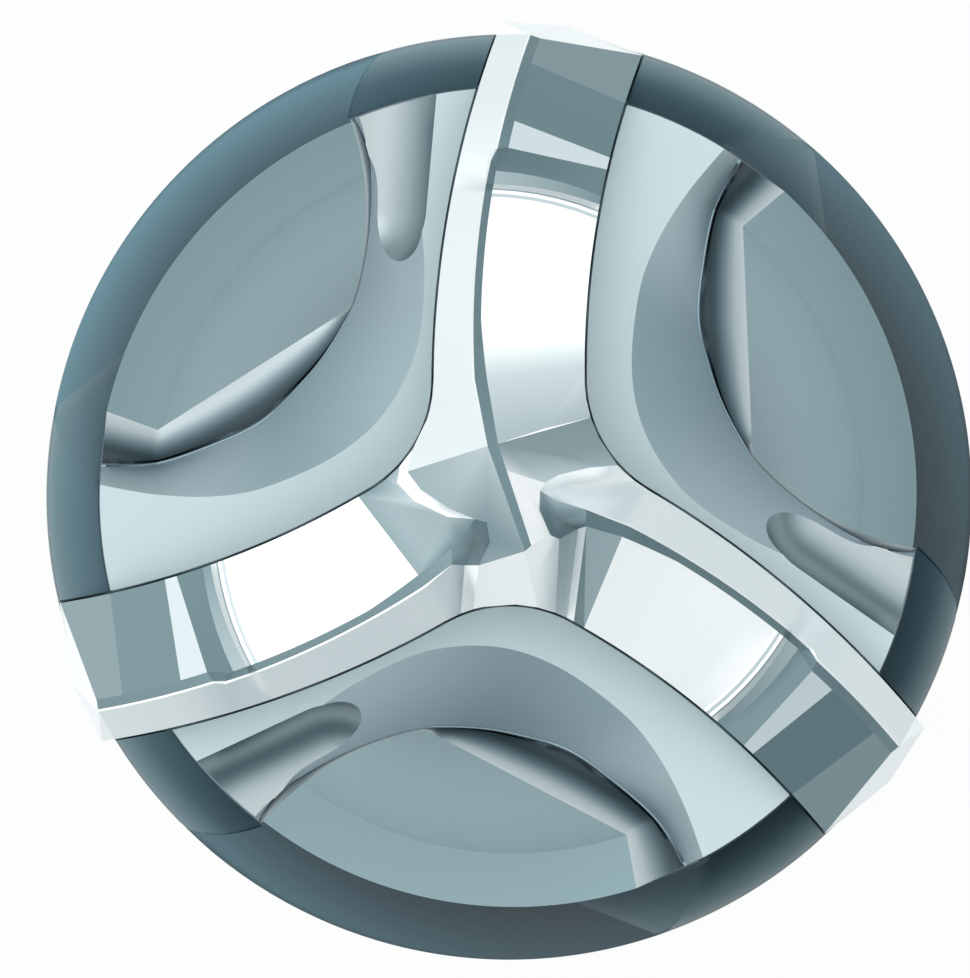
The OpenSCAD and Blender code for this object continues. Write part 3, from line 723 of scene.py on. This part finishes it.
def prism(name, ring, low, high):
    n = len(ring)
    points = [(p.x, p.y, z) for z in (low, high) for p in ring]
    faces = [list(range(n - 1, -1, -1)), list(range(n, 2 * n))]
    faces += [[i, (i + 1) % n, n + (i + 1) % n, n + i] for i in range(n)]
    return mesh_piece(name, points, faces, [0] * len(faces), [BRAZE])


def braze_seam():
    seam = prism("braze_seam_look", outline(BRAZE_W), SEAT_Z - BRAZE_W, FACE_Z - BRAZE_RECESS)
    combined(seam, prism("core", outline(0), SEAT_Z, FACE_Z + PAST), "DIFFERENCE")
    reach = [(BODY_FRONT_R, SEAT_Z - PAST), (BODY_FRONT_R, SHOULDER_Z - BEVEL_H),
             (BEVEL_R, SHOULDER_Z), (HEAD_R, SHOULDER_Z), (HEAD_R, FACE_Z)]
    combined(seam, turned_solid("reach", [(r - BRAZE_RECESS, z) for r, z in reach]), "INTERSECT")
    return seam


# Steel body

# Slots of the steel until it is painted: painted by place, wall of the boss, fillet
PLAIN, WALL, FILLET = 0, 1, 2
# Spans between the knots across a flute, steps in each span, and steps across a land
FLUTE_SPANS = 10
SPLIT = 8
LAND_STEPS = 24
# Places across a flute that are counted in knots, from the last one back to the first
PLACES = [k / SPLIT for k in range(FLUTE_SPANS * SPLIT, -1, -1)]
# Upper edge and foot of the wall beside a flute: angles of both ends on the boss, and knots
EDGE_START, EDGE_END = 178.3, 106.8
LAND_EDGE_START = EDGE_START + 0.4
EDGE_KNOTS = [polar_deg(HEAD_R, EDGE_START), *map(Vector, (
    (-4.45, 0.03), (-3.70, 0.01), (-3.03, 0.14), (-2.15, 0.55), (-1.54, 1.11), (-1.16, 1.90),
    (-1.07, 2.80), (-1.12, 3.55), (-1.20, 4.17))), polar_deg(HEAD_R, EDGE_END)]
FOOT_START, FOOT_END = 175.7, 112
FOOT_KNOTS = [polar_deg(HEAD_R, FOOT_START), *map(Vector, (
    (-4.45, 0.42), (-3.68, 0.68), (-3.13, 0.95), (-2.70, 1.35), (-2.32, 1.81), (-1.97, 2.43),
    (-1.79, 3.17), (-1.73, 3.92), (-1.78, 4.36))), polar_deg(HEAD_R, FOOT_END)]
# Where the fillet starts, as a part of the way from the foot of the wall to the helix
FILLET_START = 0.12
FILLET_STEPS = 16
# Section of the flute, and the angles at which it meets the bevel and the collar
BEVEL_INNER, BEVEL_OUTER = 168, 177.5
COLLAR_START, COLLAR_END = 172, 113
RAMP_END = Vector((-4.45, 0.85))
CORE_POINT = Vector((-2.02, 2.39))
HOLLOW_CENTRE = Vector((-5.34, 3.6))
# Knots between which the flank is straight
LINE_START, LINE_END = 1, 6
LEVEL_CROWDING = 1.35


def hollow_angles():
    to_core = CORE_POINT - HOLLOW_CENTRE
    reach, r = HOLLOW_CENTRE.length, to_core.length
    spread = math.acos((r * r + reach * reach - BODY_R ** 2) / (2 * r * reach))
    to_axis = -HOLLOW_CENTRE
    return r, math.atan2(to_core.y, to_core.x), math.atan2(to_axis.y, to_axis.x) + spread


def section_at(u):
    """Section of the helical flute: ramp, straight flank to the core, then a hollow flank."""
    if u <= LINE_START:
        return mix(polar_deg(BEVEL_R, BEVEL_INNER), RAMP_END, u / LINE_START)
    if u <= LINE_END:
        return mix(RAMP_END, CORE_POINT, (u - LINE_START) / (LINE_END - LINE_START))
    r, start, end = hollow_angles()
    return HOLLOW_CENTRE + polar(r, mix(start, end, (u - LINE_END) / (FLUTE_SPANS - LINE_END)))


def land_angles(start, end):
    step = (end + 120 - start) / (LAND_STEPS + 1)
    return [start + step * k for k in range(LAND_STEPS + 1)]


def all_round(points):
    return [(*turned(p, b * BLADE_TURN), p[2]) for b in range(BLADES) for p in points]


def edge_ring():
    ring = [(*smooth_at(EDGE_KNOTS, u), FACE_Z) for u in PLACES]
    ring += [(*polar_deg(HEAD_R, a), FACE_Z) for a in land_angles(LAND_EDGE_START, EDGE_END)]
    return all_round(ring)


def foot_ring(t):
    """Ring between the foot of the boss wall and the helix section, along the fillet."""
    ring = []
    for u in PLACES:
        a, b = smooth_at(FOOT_KNOTS, u), held_inside(section_at(u), BEVEL_R)
        width = min((b - a).length, WIDEST_FILLET) * (1 - t)
        rise = FOOT_FILLET - math.sqrt(FOOT_FILLET ** 2 - width ** 2) + FOOT_STEP * (1 - t)
        ring.append((*mix(a, b, t), SHOULDER_Z + rise))
    for a in land_angles(BEVEL_OUTER, FOOT_END):
        ring.append((*polar_deg(mix(HEAD_R, BEVEL_R, t), a), SHOULDER_Z + FOOT_STEP * (1 - t)))
    return all_round(ring)


def helix_section():
    """Full section of the helix before the bevel and the twist, and where each of its points
    ends up on the round collar."""
    end = section_at(FLUTE_SPANS)
    end_angle = math.degrees(math.atan2(end.y, end.x)) % 360
    collar_r = NECK_R + COLLAR_STEP
    lands = land_angles(BEVEL_OUTER, end_angle)
    section = [(*section_at(u), 0) for u in PLACES] + [(*polar_deg(BODY_R, a), 0) for a in lands]
    collar = [(*polar_deg(collar_r, mix(COLLAR_START, COLLAR_END, u / FLUTE_SPANS)), 0)
              for u in PLACES]
    collar += [(*polar_deg(collar_r, a), 0) for a in lands]
    return all_round(section), all_round(collar)


def helix_tree(sizes):
    """Node tree that sweeps a section down the axis, twists it, bevels its front and lets
    the flutes run out at the back."""
    tree = bpy.data.node_groups.new("twisted_helix", "GeometryNodeTree")
    interface = tree.interface
    interface.new_socket("Section", in_out="INPUT", socket_type="NodeSocketGeometry")
    for name, value in sizes.items():
        socket = interface.new_socket(name, in_out="INPUT", socket_type="NodeSocketFloat")
        socket.default_value = value
    interface.new_socket("Levels", in_out="INPUT", socket_type="NodeSocketInt").default_value = 2
    interface.new_socket("Metal", in_out="INPUT", socket_type="NodeSocketMaterial")
    interface.new_socket("Helix", in_out="OUTPUT", socket_type="NodeSocketGeometry")
    given = add_node(tree, "NodeGroupInput").outputs

    maths = partial(math_node, tree)
    count = add_node(tree, "GeometryNodeAttributeDomainSize",
                     {"Geometry": given["Section"]}).outputs["Point Count"]
    around = maths("ADD", count, 1.0)
    grid = add_node(tree, "GeometryNodeMeshGrid",
                    {"Vertices X": around, "Vertices Y": given["Levels"]}).outputs["Mesh"]
    index = add_node(tree, "GeometryNodeInputIndex").outputs[0]
    column = maths("FLOOR", maths("DIVIDE", maths("ADD", index, 0.5), given["Levels"]))
    level = maths("SUBTRACT", index, maths("MULTIPLY", column, given["Levels"]))
    place = add_node(tree, "GeometryNodeInputPosition").outputs[0]
    collar_place = add_node(tree, "GeometryNodeInputNamedAttribute", {"Name": "collar"},
                            data_type="FLOAT_VECTOR").outputs["Attribute"]
    point, collar_point = (add_node(tree, "GeometryNodeSampleIndex", {
        "Geometry": given["Section"],
        "Value": value,
        "Index": maths("MODULO", column, count),
    }, data_type="FLOAT_VECTOR").outputs["Value"] for value in (place, collar_place))
    # Levels lie closer together towards the front
    part = maths("DIVIDE", level, maths("SUBTRACT", given["Levels"], 1.0))
    below = maths("MULTIPLY", maths("POWER", part, LEVEL_CROWDING), given["Length"])

    left = maths("SUBTRACT", 1.0, maths("DIVIDE", below, given["Bevel height"], clamp=True))
    bevel = maths("MULTIPLY", maths("SUBTRACT", 1.0, maths("POWER", left, BEVEL_ROUNDING)),
                  maths("SUBTRACT", given["Front radius"], given["Bevel radius"]))
    growth = maths("MULTIPLY", maths("DIVIDE", below, given["Taper length"], clamp=True),
                   maths("SUBTRACT", given["Radius"], given["Front radius"]))
    land_r = maths("ADD", maths("ADD", given["Bevel radius"], bevel), growth)
    fade_t = maths("DIVIDE", maths("SUBTRACT", below,
                                   maths("SUBTRACT", given["Length"], given["Run-out"])),
                   given["Run-out"], clamp=True)
    fade = add_node(tree, "ShaderNodeMapRange", {"Value": fade_t},
                    interpolation_type="SMOOTHSTEP").outputs["Result"]
    r = add_node(tree, "ShaderNodeVectorMath", {0: point}, operation="LENGTH").outputs["Value"]
    inside = maths("MINIMUM", r, land_r)
    held = add_node(tree, "ShaderNodeVectorMath",
                    {0: point, "Scale": maths("DIVIDE", inside, r)},
                    operation="SCALE").outputs["Vector"]
    sized = mix_node(tree, "VECTOR", fade, held, collar_point)
    twist = maths("MULTIPLY", maths("DIVIDE", below, given["Lead"]), -math.tau)
    spun = add_node(tree, "ShaderNodeVectorRotate", {"Vector": sized, "Angle": twist},
                    rotation_type="Z_AXIS").outputs["Vector"]
    drop = add_node(tree, "ShaderNodeCombineXYZ",
                    {"Z": maths("SUBTRACT", given["Front"], below)}).outputs["Vector"]
    final = add_node(tree, "ShaderNodeVectorMath", {0: spun, 1: drop}, operation="ADD")
    swept = add_node(tree, "GeometryNodeSetPosition",
                     {"Geometry": grid, "Position": final.outputs["Vector"]})
    closed = add_node(tree, "GeometryNodeMergeByDistance",
                      {"Geometry": swept.outputs["Geometry"], "Distance": HELIX_WELD})
    real = add_node(tree, "GeometryNodeRealizeInstances", {"Geometry": closed.outputs["Geometry"]})
    finished = add_node(tree, "GeometryNodeSetMaterial",
                        {"Geometry": real.outputs["Geometry"], "Material": given["Metal"]})
    add_node(tree, "NodeGroupOutput", {"Helix": finished.outputs["Geometry"]})
    return tree


def helix():
    """Twisted part of the body, open at both ends."""
    points, collar = helix_section()
    section = mesh_piece("helix", points, [], [], [])
    ends = section.data.attributes.new("collar", "FLOAT_VECTOR", "POINT")
    ends.data.foreach_set("vector", [v * MM for p in collar for v in p])
    sizes = {
        "Lead": HELIX_LEAD, "Length": HELIX_LEN, "Front": SHOULDER_Z, "Radius": BODY_R,
        "Front radius": BODY_FRONT_R, "Taper length": FRONT_TAPER_LEN,
        "Bevel radius": BEVEL_R, "Bevel height": BEVEL_H, "Run-out": RUNOUT_LEN,
    }
    sweep = section.modifiers.new("sweep", "NODES")
    sweep.node_group = helix_tree({name: value * MM for name, value in sizes.items()})
    sockets = {item.name: item.identifier for item in sweep.node_group.interface.items_tree}
    for name, value in sizes.items():
        sweep[sockets[name]] = value * MM
    sweep[sockets["Levels"]] = HELIX_LEVELS
    sweep[sockets["Metal"]] = STEEL["steel_flute"]
    plain_mesh(section)
    return section


def steel_head_skin():
    """Face, wall and fillet of the boss, open below, ending on the helix section. A small
    ledge runs round the foot of the wall."""
    foot, outward = foot_ring(0), foot_ring(FILLET_START)
    ledge = []
    for part in (0.0, LEDGE_W, 2 * LEDGE_W):
        drop = FOOT_STEP if part > LEDGE_W else 0.0
        ring = []
        for p, q in zip(foot, outward):
            way = Vector((q[0] - p[0], q[1] - p[1]))
            step = way.normalized() * min(part, way.length) if way.length > 0 else way
            ring.append((p[0] + step.x, p[1] + step.y, p[2] - drop))
        ledge.append(ring)
    rings = [edge_ring()] + ledge
    before = len(rings)
    rings += [foot_ring(mix(FILLET_START, 1, k / FILLET_STEPS)) for k in range(FILLET_STEPS + 1)]
    n = len(rings[0])
    faces, slots = [list(range(n))], [PLAIN]
    for j in range(len(rings) - 1):
        steep = FILLET if j >= len(ledge) else WALL
        for i in range(n):
            k = (i + 1) % n
            faces.append([j * n + i, (j + 1) * n + i, (j + 1) * n + k, j * n + k])
            slots.append(steep if i % (n // BLADES) < FLUTE_SPANS * SPLIT else PLAIN)
    skin = mesh_piece("head", [p for ring in rings for p in ring], faces, slots,
                      [STEEL["steel_flute"], STEEL["steel_wall"], STEEL["steel_fillet"]])
    part = [max(0, j - before) / FILLET_STEPS for j in range(len(rings))]
    across = [0.0] * n
    for j in range(len(rings) - 1):
        across += [part[j], part[j + 1], part[j + 1], part[j]] * n
    skin.data.attributes.new("across", "FLOAT", "CORNER").data.foreach_set("value", across)
    return skin


def closed_body(head, twisted):
    """Joins the head to the helix and closes the back with a short collar."""
    shape = bmesh.new()
    shape.from_mesh(twisted.data)
    for face in shape.faces:
        face.material_index = PLAIN
    shape.from_mesh(head.data)
    bmesh.ops.remove_doubles(shape, verts=shape.verts, dist=BODY_WELD)
    rim = [e for e in shape.edges if e.is_boundary]
    grown = bmesh.ops.extrude_edge_only(shape, edges=rim)
    low = [v for v in grown["geom"] if isinstance(v, bmesh.types.BMVert)]
    bmesh.ops.translate(shape, verts=low, vec=(0, 0, -COLLAR_H * MM))
    bmesh.ops.holes_fill(shape, edges=[e for e in shape.edges if e.is_boundary])
    bmesh.ops.recalc_face_normals(shape, faces=shape.faces)
    shape.to_mesh(head.data)
    shape.free()
    bpy.data.objects.remove(twisted)
    return head


def turned_solid(name, profile, steps=192):
    """Solid of revolution about Z from (radius, height) points, lowest first."""
    points = [(0, 0, profile[0][1])]
    for r, z in profile:
        points += [(*polar(r, math.tau * k / steps), z) for k in range(steps)]
    points.append((0, 0, profile[-1][1]))
    faces = [[0, 1 + (k + 1) % steps, 1 + k] for k in range(steps)]
    for j in range(len(profile) - 1):
        low, high = 1 + j * steps, 1 + (j + 1) * steps
        faces += [[low + k, low + (k + 1) % steps, high + (k + 1) % steps, high + k]
                  for k in range(steps)]
    top = 1 + (len(profile) - 1) * steps
    faces += [[len(points) - 1, top + k, top + (k + 1) % steps] for k in range(steps)]
    return mesh_piece(name, points, faces, [0] * len(faces), [STEEL["steel_shank"]])


def ball_end(r, start, end, steps=16):
    """Profile of a round bar with ball ends, from one end to the other."""
    low = [(r * math.sin(a), start - r * math.cos(a))
           for a in (math.pi / 2 * k / steps for k in range(1, steps + 1))]
    high = [(q, end + start - z) for q, z in reversed(low)]
    return low + high


def moved(piece, angle=0.0, shift=(0, 0, 0), tilt=0.0):
    """Turns a tool about X, then Z, then shifts it, in its mesh."""
    place = (Matrix.Translation(Vector(shift) * MM) @ Matrix.Rotation(angle, 4, "Z")
             @ Matrix.Rotation(tilt, 4, "X"))
    piece.data.transform(place)
    return piece


def chip_groove(blade):
    """Tool that mills the chip groove: a ball that runs outwards."""
    reach = 2 * HEAD_R
    tool = turned_solid("groove", ball_end(CHIP_GROOVE_R, 0, reach), steps=64)
    centre = turned(CHIP_GROOVE_PLACE, blade * BLADE_TURN)
    return moved(tool, CHIP_GROOVE_TURN + blade * BLADE_TURN,
                 (*centre, FACE_Z - CHIP_GROOVE_DROP), -math.pi / 2)


def drive_slot(side):
    """Tool for a drive slot that is open at the shank end, round at its upper end."""
    half, top = DRIVE_SLOT_W / 2, DRIVE_SLOT_LEN - DRIVE_SLOT_W / 2
    steps = 24
    ring = [Vector((-half, -PAST)), Vector((half, -PAST))]
    ring += [Vector((0, top)) + polar(half, math.pi * k / steps) for k in range(steps + 1)]
    tool = prism("slot", ring, SHANK_R - DRIVE_SLOT_DEPTH, SHANK_R + 2 * PAST)
    return moved(moved(tool, tilt=math.pi / 2), math.pi / 2 + side)


def ball_groove(side):
    """Tool for a closed locking groove."""
    low = BALL_GROOVE_START + BALL_GROOVE_R
    high = BALL_GROOVE_START + BALL_GROOVE_LEN - BALL_GROOVE_R
    tool = turned_solid("groove", ball_end(BALL_GROOVE_R, low, high), steps=96)
    reach = SHANK_R - BALL_GROOVE_DEPTH + BALL_GROOVE_R
    return moved(tool, shift=(*polar(reach, math.pi / 2 + side), 0))


def shank():
    cone_h = NECK_R - SHANK_R
    bar = turned_solid("shank", [
        (SHANK_R - END_CHAMFER, 0), (SHANK_R, END_CHAMFER), (SHANK_R, SHANK_LEN),
        (NECK_R, SHANK_LEN + cone_h), (NECK_R, HELIX_END_Z - COLLAR_H / 2)])
    for side in (0, math.pi):
        combined(bar, drive_slot(side), "DIFFERENCE")
        combined(bar, ball_groove(side), "DIFFERENCE")
    return bar


def steel_body():
    body = closed_body(steel_head_skin(), helix())
    body.name = "steel_body_look"
    combined(body, prism("slot", outline(BRAZE_W), SEAT_Z - BRAZE_W, FACE_Z + PAST), "DIFFERENCE")
    for blade in range(BLADES):
        combined(body, chip_groove(blade), "DIFFERENCE")
    combined(body, shank(), "UNION")
    paint_steel(body)
    return body


def in_groove(place):
    """Whether a place in millimetres lies on the wall of one of the chip grooves."""
    near, past_ball = 0.03, 0.1
    for blade in range(BLADES):
        own = turned(place, -blade * BLADE_TURN)
        across = turned(own - Vector(CHIP_GROOVE_PLACE), -CHIP_GROOVE_TURN)
        depth = place.z - FACE_Z + CHIP_GROOVE_DROP
        off_axis = math.hypot(across.x, depth)
        if across.y < 0:
            off_axis = math.hypot(across.x, across.y, depth)
        if abs(off_axis - CHIP_GROOVE_R) < near and across.y > -CHIP_GROOVE_R - past_ball:
            return True
    return False


# How far a face of a land looks away from the axis, and a face of the front bevel up
LAND_FACING = 0.96
FRONT_FACING = 0.2


def steel_finish(c, up, out):
    """Name of the finish of a steel face, from its centre in millimetres and how far it
    faces up and away from the axis."""
    near = 0.02
    r = math.hypot(c.x, c.y)
    below = SHOULDER_Z - c.z
    if abs(c.z - FACE_Z) < near:
        return "steel_face"
    if c.z < HELIX_END_Z:
        return "steel_shank"
    if below > BEVEL_H and out > LAND_FACING:
        return "steel_land"
    # The front of the lands takes the dark skin with painted shade and painted light
    if below < SKIN_AND_SHADE_DEPTH and r > BEVEL_R - near:
        on_bevel = -near < below < BEVEL_H and up > FRONT_FACING
        return "steel_front" if on_bevel else "steel_skin_and_shade"
    if below > 0:
        return "steel_flute"
    return "steel_groove" if in_groove(c) else "steel_wall"


def crisp_border(mesh, pair):
    """Marks the edges sharp where the two finishes of a pair meet."""
    shape = bmesh.new()
    shape.from_mesh(mesh)
    for edge in shape.edges:
        if {face.material_index for face in edge.link_faces} == pair:
            edge.smooth = False
    shape.to_mesh(mesh)
    shape.free()


def paint_steel(body):
    """Gives each stretch of the steel its finish, by where it lies."""
    names = list(STEEL)
    mesh = body.data
    slots = [face.material_index for face in mesh.polygons]
    mesh.materials.clear()
    for material in STEEL.values():
        mesh.materials.append(material)
    given = {WALL: "steel_wall", FILLET: "steel_fillet"}
    for face, slot in zip(mesh.polygons, slots):
        c = face.center / MM
        out = (face.normal.x * c.x + face.normal.y * c.y) / math.hypot(c.x, c.y, 1e-6)
        name = given.get(slot) or steel_finish(c, face.normal.z, out)
        face.material_index = names.index(name)
        face.use_smooth = True
    mesh.set_sharp_from_angle(angle=STEEL_ANGLE)
    crisp_border(mesh, {names.index("steel_fillet"), names.index("steel_flute")})


# Studio

FLOOR_W = 3000.0
# Part of the paper's look that is plain white; the rest keeps the shadow
PAPER_WHITE = 0.93
ROOM_LIGHT = 1.4
# Tones of the room from the height of the floor up to overhead
ROOM_TONES = [
    (0.0, "#5F7077"), (0.15, "#84969C"), (0.35, "#C9D4D7"), (0.6, "#F6F9FA"), (1.0, "#FFFFFF"),
]
# How much lighter the room is on the upper left, and on the two lighter walls
SIDE_LIGHT = (-0.24, 0.24, 0.0)
STRIP_CONTRAST = 0.3


def floor():
    half = FLOOR_W / 2
    corners = [(-half, -half, 0), (half, -half, 0), (half, half, 0), (-half, half, 0)]
    return mesh_piece("floor", corners, [[0, 1, 2, 3]], [0], [paper()], smooth=False)


def paper():
    """White paper: matt to the light, and almost plain white to the eye and in the metal,
    with a trace of the shadow left."""
    material = bpy.data.materials.new("white_paper")
    tree = empty_tree(material)
    ray = add_node(tree, "ShaderNodeLightPath").outputs
    mirrored = math_node(tree, "ADD", ray["Is Glossy Ray"], ray["Is Transmission Ray"])
    seen = math_node(tree, "ADD", ray["Is Camera Ray"], mirrored, clamp=True)
    part = math_node(tree, "MULTIPLY", seen, PAPER_WHITE)
    matt = add_node(tree, "ShaderNodeBsdfDiffuse", {"Color": colour("#D6DEE0")})
    white = add_node(tree, "ShaderNodeEmission", {"Color": colour("#FFFFFF"), "Strength": 1.0})
    shown = add_node(tree, "ShaderNodeMixShader", {
        0: part, 1: matt.outputs[0], 2: white.outputs[0]})
    add_node(tree, "ShaderNodeOutputMaterial", {"Surface": shown.outputs[0]})
    return material


def studio_world():
    """Room that the metal mirrors: white overhead, grey at the height of the floor, lighter
    on the upper left, with a lighter wall on two sides. The camera sees it as white."""
    world = bpy.data.worlds.new("studio")
    tree = empty_tree(world)
    way = add_node(tree, "ShaderNodeTexCoord").outputs["Generated"]
    parts = add_node(tree, "ShaderNodeSeparateXYZ", {"Vector": way}).outputs
    side = add_node(tree, "ShaderNodeVectorMath", {0: way, 1: SIDE_LIGHT},
                    operation="DOT_PRODUCT").outputs["Value"]
    x2, y2 = (math_node(tree, "MULTIPLY", parts[axis], parts[axis]) for axis in "XY")
    strips = math_node(tree, "SUBTRACT", x2, y2)
    level = math_node(tree, "ADD", parts["Z"], side)
    level = math_node(tree, "MULTIPLY_ADD", strips, STRIP_CONTRAST, level)
    room = add_node(tree, "ShaderNodeBackground", {
        "Color": tone_ramp(tree, level, ROOM_TONES), "Strength": ROOM_LIGHT})
    white = add_node(tree, "ShaderNodeBackground", {"Color": colour("#FFFFFF"), "Strength": 1.0})
    seen = add_node(tree, "ShaderNodeLightPath").outputs["Is Camera Ray"]
    sky = add_node(tree, "ShaderNodeMixShader", {0: seen, 1: room.outputs[0], 2: white.outputs[0]})
    add_node(tree, "ShaderNodeOutputWorld", {"Surface": sky.outputs[0]})
    bpy.context.scene.world = world


def soft_lamp(name, place, size, power):
    lamp = bpy.data.lights.new(name, "AREA")
    lamp.shape = "DISK"
    lamp.size = size
    lamp.energy = power
    stand = bpy.data.objects.new(name, lamp)
    stand.location = place
    target = Vector((0, 0, FACE_Z * MM))
    stand.rotation_euler = (target - Vector(place)).to_track_quat("-Z", "Y").to_euler()
    bpy.context.scene.collection.objects.link(stand)


def straight_down_camera():
    """Long lens on the axis, framed as in the photograph."""
    photo_w, photo_h = 970, 978
    axis_px = (509.1, 497.0)
    mm_per_px = 0.012632
    distance = 551.0
    camera = bpy.data.cameras.new("camera")
    camera.sensor_width = 36.0
    camera.lens = camera.sensor_width * distance / (photo_h * mm_per_px)
    camera.shift_x = -(axis_px[0] - photo_w / 2) / photo_h
    camera.shift_y = (axis_px[1] - photo_h / 2) / photo_h
    stand = bpy.data.objects.new("camera", camera)
    stand.location = (0, 0, (FACE_Z + distance) * MM)
    bpy.context.scene.collection.objects.link(stand)
    bpy.context.scene.camera = stand


bpy.context.scene.view_settings.view_transform = "Standard"
head = carbide_head()
body = steel_body()
seam = braze_seam()
for piece, node, slot in ((head, "carbide_head", "carbide"), (body, "steel_body", "steel"),
                          (seam, "braze_seam", "braze")):
    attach(piece, "root")
    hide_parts(node)
floor()
studio_world()
soft_lamp("key", place=(-0.35, 0.4, 0.75), size=0.5, power=0.6)
straight_down_camera()
